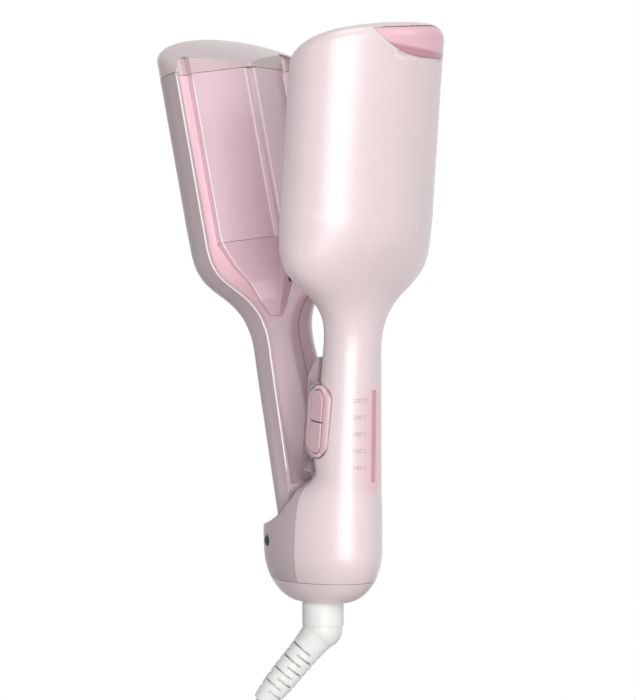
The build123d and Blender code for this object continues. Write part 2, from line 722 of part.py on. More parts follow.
with BuildPart() as main_inner_shell:
    add(main_outside)
    add(scoop(), mode=Mode.SUBTRACT)
    add(main_hollow.part, mode=Mode.SUBTRACT)
    add(front_region(), mode=Mode.SUBTRACT)
    add(below(CAP_SEAM + SEAM), mode=Mode.SUBTRACT)
    add(layer(MAIN_LEAN, -2 * HEAD_FRONT, 2 * HEAD_FRONT, SHELL_END - SEAM, HEAD_TOP), mode=Mode.SUBTRACT)
    with BuildPart(mode=Mode.PRIVATE) as tunnel:
        add(main_form(WALL / 2))
        add(rod(heel_plane, (0, 0), BOSS_RADIUS, -2 * BLOCK_HALF_X, 4 * BLOCK_HALF_X), mode=Mode.INTERSECT)
        add(layer(0, -BLOCK_HALF_Y, BLOCK_HALF_Y, -HINGE_HEIGHT, HINGE_HEIGHT, BOSS_START), mode=Mode.SUBTRACT)
    add(tunnel.part)
    add(scoop(), mode=Mode.SUBTRACT)
    add(side_block(MAIN_LEAN, [
        (BACK_Y - WALL / 2, WEB_START), (BACK_Y + WEB_DEPTH, WEB_START), (BACK_Y + WEB_DEPTH, WEB_TOP - WEB_SLOPE),
        (BACK_Y, WEB_TOP), (BACK_Y - WALL / 2, WEB_TOP),
    ], WEB_HALF))
    add(pod())
    for side in (-1, 1):
        with BuildPart(mode=Mode.PRIVATE) as boss:
            add(main_form(WALL / 2))
            add(cross_rod(side, SCREW_HEAD + BOSS_WALL, screw_seat - WALL, BLOCK_HALF_X), mode=Mode.INTERSECT)
        add(boss.part)
        add(cross_rod(side, SCREW_HOLE, screw_seat, BLOCK_HALF_X), mode=Mode.SUBTRACT)
        add(cross_rod(side, SCREW_RADIUS + SEAM, screw_seat - WALL, BLOCK_HALF_X), mode=Mode.SUBTRACT)
    add(bezel_pocket, mode=Mode.SUBTRACT)
    add(rod(heel_plane, (0, 0), PIN_RADIUS + PRESS, -PIN_HALF - SEAM, 2 * PIN_HALF + 2 * SEAM), mode=Mode.SUBTRACT)
    add(layer(MAIN_LEAN, -BARREL_RADIUS - SLOT_GAP, SLOT_BACK, -BARREL_RADIUS - SLOT_GAP, WEB_START, SLOT_HALF), mode=Mode.SUBTRACT)
main_inner_shell.part.label = "main_inner_shell"

with BuildPart() as bottom_cap:
    add(main_outside)
    add(below(CAP_SEAM), mode=Mode.INTERSECT)
    add(main_inside, mode=Mode.SUBTRACT)
    add(rod(level(0), (0, 0), RETAINER_RADIUS, WALL / 2, RETAINER_HEIGHT - WALL / 2))
    add(rod(level(0), (0, 0), ENTRY_RADIUS, -WALL, CAP_SEAM), mode=Mode.SUBTRACT)
    for side in (-1, 1):
        lug = prism(Plane.YZ.offset(side * (LUG_INNER + screw_seat - WALL - SEAM) / 2), [
            (SCREW_Y - LUG_HALF, -GRIP_HEIGHT), (SCREW_Y + LUG_HALF, -GRIP_HEIGHT),
            (SCREW_Y + LUG_HALF, SCREW_HEIGHT + LUG_HALF - GRIP_HEIGHT),
            (SCREW_Y - LUG_HALF, SCREW_HEIGHT + LUG_HALF - GRIP_HEIGHT),
        ], (screw_seat - WALL - SEAM - LUG_INNER) / 2)
        with BuildPart(mode=Mode.PRIVATE) as foot:
            add(lug)
            add(main_form(WALL / 2), mode=Mode.INTERSECT)
            add(below(CAP_SEAM), mode=Mode.INTERSECT)
        add(foot.part)
        with BuildPart(mode=Mode.PRIVATE) as post:
            add(lug)
            add(main_lining, mode=Mode.INTERSECT)
        add(post.part)
        add(cross_rod(side, SCREW_RADIUS + PRESS, 0, BLOCK_HALF_X), mode=Mode.SUBTRACT)
bottom_cap.part.label = "bottom_cap"

# ---------------------------------------------------------------- main arm: plate and neck
with BuildPart() as main_plate_frame:
    add(main_casing(WALL + SEAM))
    add(layer(MAIN_LEAN, FRAME_BACK, FRAME_Y, PLATE_START, HEAD_TOP), mode=Mode.INTERSECT)
    add(layer(MAIN_LEAN, -HEAD_FRONT, HEAD_FRONT, 0, HEAD_TOP, GROOVE_OUTER + SEAM), mode=Mode.SUBTRACT)
main_plate_frame.part.label = "main_plate_frame"

with BuildPart() as main_plate:
    add(groove(PLATE_START, PLATE_END))
main_plate.part.label = "main_plate"

with BuildPart() as main_tip_cap:
    add(groove(PLATE_END + SEAM, HEAD_TOP, solid=True))
    add(above_top(MAIN_LEAN, RIM_SETBACK, -1, HEAD_FRONT, MAIN_TOP), mode=Mode.SUBTRACT)
main_tip_cap.part.label = "main_tip_cap"

with BuildPart() as main_lower_cap:
    add(main_lining)
    add(layer(MAIN_LEAN, SEAT_Y, NECK_CAP_Y, SHELL_END, PLATE_START - SEAM), mode=Mode.INTERSECT)
    add(prow(MAIN_LEAN, PROW_GAP), mode=Mode.SUBTRACT)
main_lower_cap.part.label = "main_lower_cap"

with BuildPart() as main_heater:
    add(layer(
        MAIN_LEAN, SEAT_Y - HEATER_THICK, SEAT_Y,
        PLATE_MIDDLE - HEATER_LENGTH / 2, PLATE_MIDDLE + HEATER_LENGTH / 2, HEATER_HALF,
    ))
main_heater.part.label = "main_heater"


def clip(lean, near, inward, foot):
    """A bent strip that spans a heater's back and stands on two feet beyond its ends."""
    reach = HEATER_LENGTH / 2 + SEAM + CLIP_THICK
    far = near + inward * CLIP_THICK
    low, high = PLATE_MIDDLE - reach, PLATE_MIDDLE + reach
    return side_block(lean, [
        (far, low), (far, high), (foot, high), (foot, high - CLIP_THICK), (near, high - CLIP_THICK),
        (near, low + CLIP_THICK), (foot, low + CLIP_THICK), (foot, low),
    ], CLIP_HALF)


with BuildPart() as main_heater_clip:
    add(clip(MAIN_LEAN, SEAT_Y - HEATER_THICK, -1, SEAT_Y))
main_heater_clip.part.label = "main_heater_clip"

main_clip_back = SEAT_Y - HEATER_THICK - CLIP_THICK
with BuildPart() as main_thermistor:
    add(layer(
        MAIN_LEAN, main_clip_back - THERMISTOR_SIZE, main_clip_back,
        PLATE_MIDDLE, PLATE_MIDDLE + 2 * THERMISTOR_SIZE, THERMISTOR_SIZE / 2,
    ))
main_thermistor.part.label = "main_thermistor"

with BuildPart() as thermal_fuse:
    add(rod(
        arm_section(MAIN_LEAN, PLATE_MIDDLE), (0, main_clip_back - FUSE_RADIUS - SEAM), FUSE_RADIUS,
        -HEATER_LENGTH / 4 - FUSE_LENGTH / 2, FUSE_LENGTH,
    ))
thermal_fuse.part.label = "thermal_fuse"

# ---------------------------------------------------------------- main arm: controls
with BuildPart() as control_board:
    add(layer(MAIN_LEAN, BOARD_Y - BOARD_THICK, BOARD_Y, BOARD_START, BOARD_END, BOARD_HALF))
control_board.part.label = "control_board"

with BuildPart() as indicator_lens:
    add(main_form(LENS_SINK))
    add(main_form(LENS_THICK), mode=Mode.SUBTRACT)
    add(offset_layer(
        MAIN_LEAN, STRIP_X, STRIP_WIDTH / 2 - SEAM, -2 * HEAD_FRONT, -RIM_SETBACK - NECK_FRONT / 2,
        STRIP_STATION - STRIP_LENGTH / 2 + SEAM, STRIP_STATION + STRIP_LENGTH / 2 - SEAM,
    ), mode=Mode.INTERSECT)
indicator_lens.part.label = "indicator_lens"

with BuildPart() as indicator_leds:
    for number in range(LED_COUNT):
        station = STRIP_STATION + (number - (LED_COUNT - 1) / 2) * STRIP_LENGTH / LED_COUNT
        add(offset_layer(
            MAIN_LEAN, STRIP_X, LED_HALF, BOARD_Y - BOARD_THICK - LED_TALL, BOARD_Y - BOARD_THICK,
            station - LED_HALF, station + LED_HALF,
        ))
indicator_leds.part.label = "indicator_leds"

bezel_half = BEZEL_DEPTH / 2
window_low, window_high = bezel_low + BEZEL_WALL, bezel_high - BEZEL_WALL
window_width = BEZEL_WIDTH - 2 * BEZEL_WALL
with BuildPart() as button_bezel:
    add(rounded(-BEZEL_X + bezel_half, bezel_half, BEZEL_WIDTH, bezel_low, bezel_high, BEZEL_CORNER))
    fillet(button_bezel.faces().sort_by(Axis.X)[0].edges(), EDGE_RADIUS)
    add(rounded(
        -BEZEL_X, 2 * BEZEL_DEPTH, window_width, window_low, window_high, WINDOW_CORNER,
    ), mode=Mode.SUBTRACT)
button_bezel.part.label = "button_bezel"

board_face = -BEZEL_X + BEZEL_DEPTH
with BuildPart() as button_board:
    add(rounded(
        board_face + BOARD_THICK / 2, BOARD_THICK / 2, BEZEL_WIDTH, bezel_low, bezel_high, BEZEL_CORNER,
    ))
button_board.part.label = "button_board"


def button(name, low, high):
    """A button between two stations, with its stem, and the middle of its switch."""
    middle = (BEZEL_Y, (low + high) / 2)
    tip = board_face - SWITCH_TALL - BUTTON_TRAVEL - STEM_GAP
    under = -BEZEL_X - BUTTON_PROUD + BUTTON_THICK
    with BuildPart() as body:
        add(rounded(
            under - BUTTON_THICK / 2, BUTTON_THICK / 2, window_width - 2 * BUTTON_EDGE,
            window_low + BUTTON_EDGE, window_high - BUTTON_EDGE, WINDOW_CORNER - BUTTON_EDGE,
        ))
        add(layer(MAIN_LEAN, -2 * HEAD_FRONT, HEAD_FRONT, low, high), mode=Mode.INTERSECT)
        fillet(body.faces().sort_by(Axis.X)[0].edges(), EDGE_RADIUS / 2)
        add(rod(arm_side(MAIN_LEAN), middle, STEM_RADIUS, under - STEM_RADIUS, tip - under + STEM_RADIUS))
    body.part.label = name
    return body.part, middle


minus_button, minus_middle = button("minus_button", window_low, BEZEL_STATION - BUTTON_SPLIT / 2)
plus_button, plus_middle = button("plus_button", BEZEL_STATION + BUTTON_SPLIT / 2, window_high)

with BuildPart() as tact_switches:
    for middle in (minus_middle, plus_middle):
        add(offset_layer(
            MAIN_LEAN, board_face - SWITCH_TALL / 2, SWITCH_TALL / 2,
            middle[0] - SWITCH_HALF, middle[0] + SWITCH_HALF, middle[1] - SWITCH_HALF, middle[1] + SWITCH_HALF,
        ))
tact_switches.part.label = "tact_switches"

# ---------------------------------------------------------------- hinge
with BuildPart() as hinge_pin:
    add(rod(heel_plane, (0, 0), PIN_RADIUS, -PIN_HALF, 2 * PIN_HALF))
hinge_pin.part.label = "hinge_pin"

with BuildPart() as torsion_spring:
    coils = 2 * (SPRING_HALF - SEAM - SPRING_WIRE / 2)
    with BuildLine() as wire:
        Helix(SPRING_PITCH, coils, SPRING_RADIUS, center=(-coils / 2, HINGE_Y, HINGE_Z), direction=(1, 0, 0))
    with BuildSketch(Plane(origin=wire.line @ 0, z_dir=wire.line % 0)):
        Circle(SPRING_WIRE / 2)
    sweep(path=wire.line, is_frenet=True)
torsion_spring.part.label = "torsion_spring"

with BuildPart() as swivel_retainer:
    add(rod(level(RETAINER_HEIGHT), (0, 0), RETAINER_RADIUS, 0, RETAINER_THICK))
    add(rod(level(RETAINER_HEIGHT), (0, 0), COLLAR_NECK + RETAINER_GAP, -1, RETAINER_THICK + 2), mode=Mode.SUBTRACT)
    Box(2 * RETAINER_RADIUS + 2, RETAINER_GAP, 4 * RETAINER_HEIGHT + 2 * GRIP_HEIGHT, mode=Mode.SUBTRACT)
swivel_retainer.part.label = "swivel_retainer"

with BuildPart() as housing_screws:
    for side in (-1, 1):
        add(cross_rod(side, SCREW_HEAD, screw_seat, screw_face))
        add(cross_rod(side, SCREW_RADIUS, screw_face - SCREW_LENGTH, screw_face))
housing_screws.part.label = "housing_screws"

# ---------------------------------------------------------------- clamp arm
clamp_outside = clamp_form(0)
clamp_inside = clamp_form(WALL)
prow_face = arm_face(CLAMP_LEAN, LAND_Y)
prow_place = (PROW_SCREW_X, PROW_SCREW)

with BuildPart() as clamp_outer_shell:
    add(clamp_outside)
    add(layer(CLAMP_LEAN, -HEAD_FRONT, 2 * BOWL_DEPTH, PLATE_END, HEAD_TOP), mode=Mode.SUBTRACT)
    add(tail_cut(), mode=Mode.SUBTRACT)
    with BuildPart(mode=Mode.PRIVATE) as clamp_hollow:
        add(clamp_inside)
        add(tail_cut(WALL), mode=Mode.SUBTRACT)
    add(clamp_hollow.part, mode=Mode.SUBTRACT)
    with BuildPart(mode=Mode.PRIVATE) as post:
        add(clamp_form(WALL / 2))
        add(rod(prow_face, prow_place, PROW_SCREW_RADIUS + BOSS_WALL, -BOWL_DEPTH, BOWL_DEPTH - FLOOR), mode=Mode.INTERSECT)
    add(post.part)
    add(rod(prow_face, prow_place, SCREW_RADIUS + PRESS, -PROW_SCREW_LENGTH, PROW_SCREW_LENGTH), mode=Mode.SUBTRACT)
    add(layer(
        CLAMP_LEAN, -CLAMP_SETBACK - WALL, LAND_Y + FLOOR + SEAM, -WALL, TAIL_START + TAIL_ROUNDING + WALL,
        KNUCKLE_HALF + SEAM,
    ), mode=Mode.SUBTRACT)
clamp_outer_shell.part.label = "clamp_outer_shell"

with BuildPart() as clamp_inner_shell:
    add(clamp_form(WALL + SEAM))
    add(layer(CLAMP_LEAN, LAND_Y, LAND_Y + FLOOR, 0, PLATE_END), mode=Mode.INTERSECT)
    add(tail_cut(WALL + SEAM), mode=Mode.SUBTRACT)
    for side in (-1, 1):
        middle = side * (SPRING_HALF + SEAM + KNUCKLE_HALF) / 2
        half = (KNUCKLE_HALF - SPRING_HALF - SEAM) / 2
        add(prism(arm_side(CLAMP_LEAN, middle), [
            (TONGUE_FRONT, 0), (BARREL_RADIUS, 0), (LAND_Y + FLOOR, TAIL_START + BARREL_RADIUS),
            (LAND_Y + FLOOR, TONGUE_TOP), (LAND_Y, TONGUE_TOP), (TONGUE_FRONT, TAIL_START + TAIL_ROUNDING - 2),
        ], half))
        add(rod(heel_plane, (0, 0), BARREL_RADIUS, middle - half, 2 * half))
    add(rod(heel_plane, (0, 0), PIN_RADIUS + RUNNING + BUSH_WALL + PRESS, -PIN_HALF, 2 * PIN_HALF), mode=Mode.SUBTRACT)
    add(layer(
        CLAMP_LEAN, LAND_Y - 1, LAND_Y + FLOOR + 1, PLATE_MIDDLE - HEATER_LENGTH / 4,
        PLATE_MIDDLE + HEATER_LENGTH / 4, RIDGE_HEATER_HALF,
    ), mode=Mode.SUBTRACT)
    add(rod(prow_face, prow_place, SCREW_RADIUS + SEAM, -BOWL_DEPTH, 2 * BOWL_DEPTH), mode=Mode.SUBTRACT)
clamp_inner_shell.part.label = "clamp_inner_shell"

with BuildPart() as clamp_plate:
    add(ridge(CLAMP_LEAN, PLATE_START, PLATE_END))
    add(ridge(
        CLAMP_LEAN, PLATE_START - 1, PLATE_END + 1, lift=PLATE_WALL, thin=PLATE_WALL, base=LAND_Y + 1,
    ), mode=Mode.SUBTRACT)
clamp_plate.part.label = "clamp_plate"

with BuildPart() as clamp_tip_cap:
    add(clamp_casing())
    add(channel(), mode=Mode.SUBTRACT)
    add(ridge(CLAMP_LEAN, PLATE_END, HEAD_TOP))
    add(above_top(CLAMP_LEAN, CLAMP_SETBACK, 1, BOWL_DEPTH, CLAMP_TOP), mode=Mode.SUBTRACT)
    add(layer(CLAMP_LEAN, -HEAD_FRONT, 2 * BOWL_DEPTH, -2 * BLOCK_HALF_Y, PLATE_END + SEAM), mode=Mode.SUBTRACT)
    with BuildPart(mode=Mode.PRIVATE) as cap_hollow:
        add(clamp_casing(WALL))
        add(layer(CLAMP_LEAN, LAND_Y + FLOOR, 2 * BOWL_DEPTH, 0, HEAD_TOP), mode=Mode.INTERSECT)
    add(cap_hollow.part, mode=Mode.SUBTRACT)
clamp_tip_cap.part.label = "clamp_tip_cap"

with BuildPart() as clamp_lower_cap:
    add(prow(CLAMP_LEAN))
    add(rod(prow_face, prow_place, PROW_SCREW_RADIUS, PROW_SEAT, BOWL_DEPTH), mode=Mode.SUBTRACT)
    add(rod(prow_face, prow_place, SCREW_RADIUS + SEAM, -1, BOWL_DEPTH), mode=Mode.SUBTRACT)
clamp_lower_cap.part.label = "clamp_lower_cap"

with BuildPart() as prow_screw:
    add(rod(prow_face, prow_place, PROW_SCREW_RADIUS - SEAM, PROW_SEAT, PROW_HEAD))
    add(rod(prow_face, prow_place, SCREW_RADIUS, PROW_SEAT - PROW_SCREW_LENGTH, PROW_SCREW_LENGTH))
prow_screw.part.label = "prow_screw"

with BuildPart() as clamp_heater:
    add(layer(
        CLAMP_LEAN, RIDGE_SEAT_Y, RIDGE_SEAT_Y + HEATER_THICK,
        PLATE_MIDDLE - HEATER_LENGTH / 2, PLATE_MIDDLE + HEATER_LENGTH / 2, RIDGE_HEATER_HALF,
    ))
clamp_heater.part.label = "clamp_heater"

clamp_clip_back = RIDGE_SEAT_Y + HEATER_THICK + CLIP_THICK
with BuildPart() as clamp_heater_clip:
    add(clip(CLAMP_LEAN, clamp_clip_back, -1, LAND_Y))
clamp_heater_clip.part.label = "clamp_heater_clip"

with BuildPart() as clamp_thermistor:
    add(layer(
        CLAMP_LEAN, clamp_clip_back, clamp_clip_back + THERMISTOR_SIZE,
        PLATE_MIDDLE, PLATE_MIDDLE + 2 * THERMISTOR_SIZE, THERMISTOR_SIZE / 2,
    ))
clamp_thermistor.part.label = "clamp_thermistor"

with BuildPart() as hinge_bushes:
    for side in (-1, 1):
        start = SPRING_HALF + SEAM if side > 0 else -KNUCKLE_HALF
        add(rod(heel_plane, (0, 0), PIN_RADIUS + RUNNING + BUSH_WALL, start, KNUCKLE_HALF - SPRING_HALF - SEAM))
    add(rod(heel_plane, (0, 0), PIN_RADIUS + RUNNING, -PIN_HALF, 2 * PIN_HALF), mode=Mode.SUBTRACT)
hinge_bushes.part.label = "hinge_bushes"

# ---------------------------------------------------------------- cord
with BuildPart() as swivel_collar:
    add(rod(level(0), (0, 0), COLLAR_RADIUS, -COLLAR_LENGTH, COLLAR_LENGTH + RETAINER_HEIGHT - RETAINER_GAP / 2))
    add(rod(level(RETAINER_HEIGHT), (0, 0), COLLAR_NECK, -1, RETAINER_THICK + 2))
    add(rod(level(RETAINER_HEIGHT + RETAINER_THICK), (0, 0), COLLAR_RADIUS, RETAINER_GAP / 2, COLLAR_FLANGE))
swivel_collar.part.label = "swivel_collar"

bend = radians(RELIEF_BEND)
azimuth = radians(RELIEF_AZIMUTH)
elbow = Vector(0, 0, -ELBOW_DROP - GRIP_HEIGHT)


def heading(angle):
    """The cord's direction at an angle from straight down."""
    return Vector(sin(angle) * cos(azimuth), sin(angle) * sin(azimuth), -cos(angle))


with BuildPart() as bend_relief:
    with Locations(elbow):
        Sphere(RELIEF_BALL)
    relief_plane = Plane(origin=elbow, x_dir=heading(bend - radians(90)), z_dir=heading(bend))
    for place, radius in RELIEF_STEPS:
        with BuildSketch(relief_plane.offset(place)):
            Circle(radius)
    loft()
    add(below(-COLLAR_LENGTH), mode=Mode.INTERSECT)
    for number in range(SLOT_COUNT):
        with BuildSketch(relief_plane.offset(SLOT_FIRST + number * SLOT_PITCH)):
            Circle(2 * RELIEF_BALL)
            Circle(CORD_RADIUS + EDGE_RADIUS, mode=Mode.SUBTRACT)
            Rectangle(
                4 * RELIEF_BALL, SLOT_RIB, rotation=SLOT_TURN + 90 * (number % 2), mode=Mode.SUBTRACT
            )
        extrude(amount=SLOT_WIDE, mode=Mode.SUBTRACT)
bend_relief.part.label = "bend_relief"


def tube(points, name):
    """A cord laid through points, with arcs as large as the runs beside them allow."""
    runs = [(b - a).length for a, b in zip(points, points[1:])]
    radii = []
    for index in range(1, len(points) - 1):
        turn = radians((points[index] - points[index - 1]).get_angle(points[index + 1] - points[index]))
        radii.append(CORD_ARC * min(runs[index - 1], runs[index]) / tan(turn / 2))
    print(name, "arc radii", [round(radius, 1) for radius in radii])
    with BuildPart() as body:
        with BuildLine() as path:
            FilletPolyline(*points, radius=radii)
        with BuildSketch(Plane(origin=path.line @ 0, z_dir=path.line % 0)):
            Circle(CORD_RADIUS)
        sweep(path=path.line)
    body.part.label = name
    return body.part


lead_points = [elbow + heading(bend) * RELIEF_STEPS[-1][0]]
for step in (0, 1, 2):
    lead_points.append(lead_points[-1] + heading(bend * (1 - step / 3)) * LEAD_RUN)
lead_points.append(lead_points[-1] + heading(0) * LEAD_RUN)
cord_lead = tube(lead_points, "cord_lead")

hank_top = lead_points[-1] + Vector(HANK_FOLD, 0, -HANK_BURY)
hank_half_y = HANK_LAYERS * CORD_RADIUS
hank_plane = Plane(origin=hank_top - Vector(0, 0, HANK_RUN / 2), x_dir=(0, 0, 1), z_dir=(0, 1, 0))
with BuildPart() as cord_hank:
    with BuildSketch(hank_plane):
        SlotCenterToCenter(HANK_RUN, 2 * (HANK_FOLD + CORD_RADIUS))
        SlotCenterToCenter(HANK_RUN, 2 * (HANK_FOLD - CORD_RADIUS), mode=Mode.SUBTRACT)
    extrude(amount=hank_half_y, both=True)
cord_hank.part.label = "cord_hank"

tail_start = hank_plane.origin - Vector(0, hank_half_y + CORD_RADIUS + CORD_GAP, 0)
tail_steps = (
    (0, TAIL_RUN), (TAIL_RUN * sin(radians(45)), TAIL_RUN * cos(radians(45))), (TAIL_RUN, 0),
    (TAIL_RUN * sin(radians(45)), -TAIL_RUN * cos(radians(45))), (0, -TAIL_RUN),
)
tail_points = [tail_start]
for across, up in tail_steps:
    tail_points.append(tail_points[-1] + Vector(across, 0, up))
cord_tail = tube(tail_points, "cord_tail")

with BuildPart() as hank_tie:
    half_x = HANK_FOLD + CORD_RADIUS + CORD_GAP
    front = hank_half_y + 2 * CORD_RADIUS + 2 * CORD_GAP
    back = hank_half_y + CORD_GAP
    with BuildSketch(Plane(origin=hank_plane.origin + Vector(0, (back - front) / 2, 0), z_dir=(0, 0, 1))):
        Rectangle(2 * half_x + 2 * TIE_THICK, front + back + 2 * TIE_THICK)
        Rectangle(2 * half_x, front + back, mode=Mode.SUBTRACT)
    extrude(amount=TIE_WIDTH)
hank_tie.part.label = "hank_tie"

plug_plane = Plane(origin=tail_points[-1], x_dir=(1, 0, 0), z_dir=(0, 0, -1))
with BuildPart() as plug_body:
    with BuildSketch(plug_plane):
        RectangleRounded(PLUG_WIDTH, PLUG_DEPTH, PLUG_DEPTH / 2 - EDGE_RADIUS)
    extrude(amount=PLUG_LENGTH)
    fillet(plug_body.faces().sort_by(Axis.Z)[-1].edges(), EDGE_RADIUS)
plug_body.part.label = "plug_body"

with BuildPart() as plug_pins:
    with BuildSketch(plug_plane.offset(PLUG_LENGTH)):
        with GridLocations(PLUG_PITCH, 1, 2, 1):
            Circle(PLUG_PIN_RADIUS)
    extrude(amount=PLUG_PIN_LENGTH)
plug_pins.part.label = "plug_pins"

os.makedirs("parts", exist_ok=True)
for piece in (
    main_outer_shell.part, main_inner_shell.part, bottom_cap.part, tip_inlay.part, main_plate_frame.part,
    main_plate.part, main_tip_cap.part, main_lower_cap.part, main_heater.part, main_heater_clip.part,
    main_thermistor.part, thermal_fuse.part, control_board.part, indicator_lens.part, indicator_leds.part,
    button_bezel.part, button_board.part, minus_button, plus_button, tact_switches.part, hinge_pin.part,
    torsion_spring.part, swivel_retainer.part, housing_screws.part, clamp_outer_shell.part,
    clamp_inner_shell.part, clamp_plate.part, clamp_tip_cap.part, clamp_lower_cap.part, prow_screw.part,
    clamp_heater.part, clamp_heater_clip.part, clamp_thermistor.part, hinge_bushes.part,
    swivel_collar.part, bend_relief.part, cord_lead, cord_hank.part, cord_tail, hank_tie.part,
    plug_body.part, plug_pins.part,
):
    export_step(piece, f"parts/{piece.label}.step")
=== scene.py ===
"""Hair waver, dressed: two nesting heated arms in pearly plastic, on a swivel cord."""

import json
import math

import bmesh
import bpy
from mathutils import Matrix, Vector
from mathutils.bvhtree import BVHTree

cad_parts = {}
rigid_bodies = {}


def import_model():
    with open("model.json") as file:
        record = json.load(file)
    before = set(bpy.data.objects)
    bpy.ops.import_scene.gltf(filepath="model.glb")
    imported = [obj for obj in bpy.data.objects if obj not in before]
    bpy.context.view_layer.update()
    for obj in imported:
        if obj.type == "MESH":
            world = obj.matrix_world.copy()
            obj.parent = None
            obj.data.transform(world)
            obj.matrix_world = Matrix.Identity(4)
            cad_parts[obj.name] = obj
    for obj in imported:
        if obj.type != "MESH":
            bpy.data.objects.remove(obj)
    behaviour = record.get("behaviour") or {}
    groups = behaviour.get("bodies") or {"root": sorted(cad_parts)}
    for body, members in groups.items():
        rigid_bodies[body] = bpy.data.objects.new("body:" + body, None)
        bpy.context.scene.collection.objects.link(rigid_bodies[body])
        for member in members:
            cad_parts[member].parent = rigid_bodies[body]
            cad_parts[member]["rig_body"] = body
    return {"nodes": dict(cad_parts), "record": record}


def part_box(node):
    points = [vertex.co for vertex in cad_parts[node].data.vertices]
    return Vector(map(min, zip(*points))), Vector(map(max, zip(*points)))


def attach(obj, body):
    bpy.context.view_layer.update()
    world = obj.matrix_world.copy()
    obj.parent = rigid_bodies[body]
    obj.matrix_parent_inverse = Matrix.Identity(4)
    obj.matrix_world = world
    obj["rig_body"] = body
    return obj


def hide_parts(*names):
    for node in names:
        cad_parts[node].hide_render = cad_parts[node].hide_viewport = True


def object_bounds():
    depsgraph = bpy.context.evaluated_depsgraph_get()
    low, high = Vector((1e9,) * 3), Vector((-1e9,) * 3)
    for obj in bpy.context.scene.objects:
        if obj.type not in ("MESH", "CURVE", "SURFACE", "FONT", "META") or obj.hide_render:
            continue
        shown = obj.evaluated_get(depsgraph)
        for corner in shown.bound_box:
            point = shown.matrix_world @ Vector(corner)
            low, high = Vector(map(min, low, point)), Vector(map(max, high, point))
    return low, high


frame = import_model()
cad_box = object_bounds()

MM = 0.001
GRIP_HEIGHT = 85.0
HINGE_Y, HINGE_Z = 2.0, -45.0
MAIN_LEAN, CLAMP_LEAN = -5.5, 15.8
SUBPARTS = {part["node"]: part for part in frame["record"]["subparts"]}


# ---------------------------------------------------------------- camera
VIEW_AZIMUTH = -40.0
VIEW_ELEVATION = 4.8
VIEW_DISTANCE = 3.0
VIEW_TALL = 0.3382            # height of the picture at the object, in metres
SENSOR = 36.0
CENTRE_U, CENTRE_V = -2.4, 121.3


def view_axes():
    """Right, up and towards-the-camera directions of the picture."""
    a = math.radians(VIEW_AZIMUTH)
    e = math.radians(VIEW_ELEVATION)
    right = Vector((math.cos(a), math.sin(a), 0))
    toward = Vector((math.sin(a) * math.cos(e), -math.cos(a) * math.cos(e), math.sin(e)))
    return right, toward.cross(right), toward


right, up, toward = view_axes()


def make_camera():
    target = (right * CENTRE_U + up * CENTRE_V) * MM - Vector((0, 0, GRIP_HEIGHT * MM))
    data = bpy.data.cameras.new("camera")
    data.sensor_fit = "VERTICAL"
    data.sensor_height = SENSOR
    data.lens = SENSOR * VIEW_DISTANCE / VIEW_TALL
    data.clip_end = 50
    camera = bpy.data.objects.new("camera", data)
    bpy.context.collection.objects.link(camera)
    camera.location = target + toward * VIEW_DISTANCE
    camera.rotation_euler = toward.to_track_quat("Z", "Y").to_euler()
    bpy.context.scene.camera = camera


make_camera()
bpy.context.scene.view_settings.view_transform = "Standard"


# ---------------------------------------------------------------- light and floor
MIDDLE = Vector((0, 0, 0.05))                 # of the arms, where most lamps aim
FILL_COLOUR, FILL_STRENGTH = (1.0, 0.93, 0.94, 1), 0.07
FLOOR_Z = cad_box[0][2] - 0.002
FLOOR_RADIUS, FLOOR_FADE = 0.95, 0.5
FLOOR_GREY, FLOOR_ROUGHNESS, FLOOR_SIDES = 0.93, 0.9, 96


def rise(height):
    """A step straight up, in metres."""
    return Vector((0, 0, height))


def area_light(name, place, aim, power, size, size_y=None):
    data = bpy.data.lights.new(name, "AREA")
    data.energy = power
    data.size = size
    if size_y:
        data.shape = "RECTANGLE"
        data.size_y = size_y
    lamp = bpy.data.objects.new(name, data)
    bpy.context.collection.objects.link(lamp)
    lamp.location = place
    lamp.rotation_euler = (place - aim).to_track_quat("Z", "Y").to_euler()


def make_lamps():
    """Two tall softboxes by the camera for the white band, and three weaker lamps."""
    area_light(
        "key", MIDDLE + toward * 1.5 - right * 0.02 + rise(0.1), MIDDLE,
        power=9, size=0.42, size_y=1.3,
    )
    area_light(
        "strip", MIDDLE + toward * 1.45 + right * 0.44 + rise(0.05), MIDDLE,
        power=9.5, size=0.46, size_y=1.3,
    )
    area_light(
        "left", MIDDLE - right * 1.1 + toward * 1.0 + rise(0.3), MIDDLE,
        power=0.8, size=0.3, size_y=1.0,
    )
    area_light(
        "glint", MIDDLE + Vector((0.84, -0.98, 0.55)), MIDDLE + rise(0.05),
        power=1.8, size=0.3, size_y=0.6,
    )
    area_light("top", toward * 0.3 + rise(1.4), rise(0.1), power=5, size=0.8)


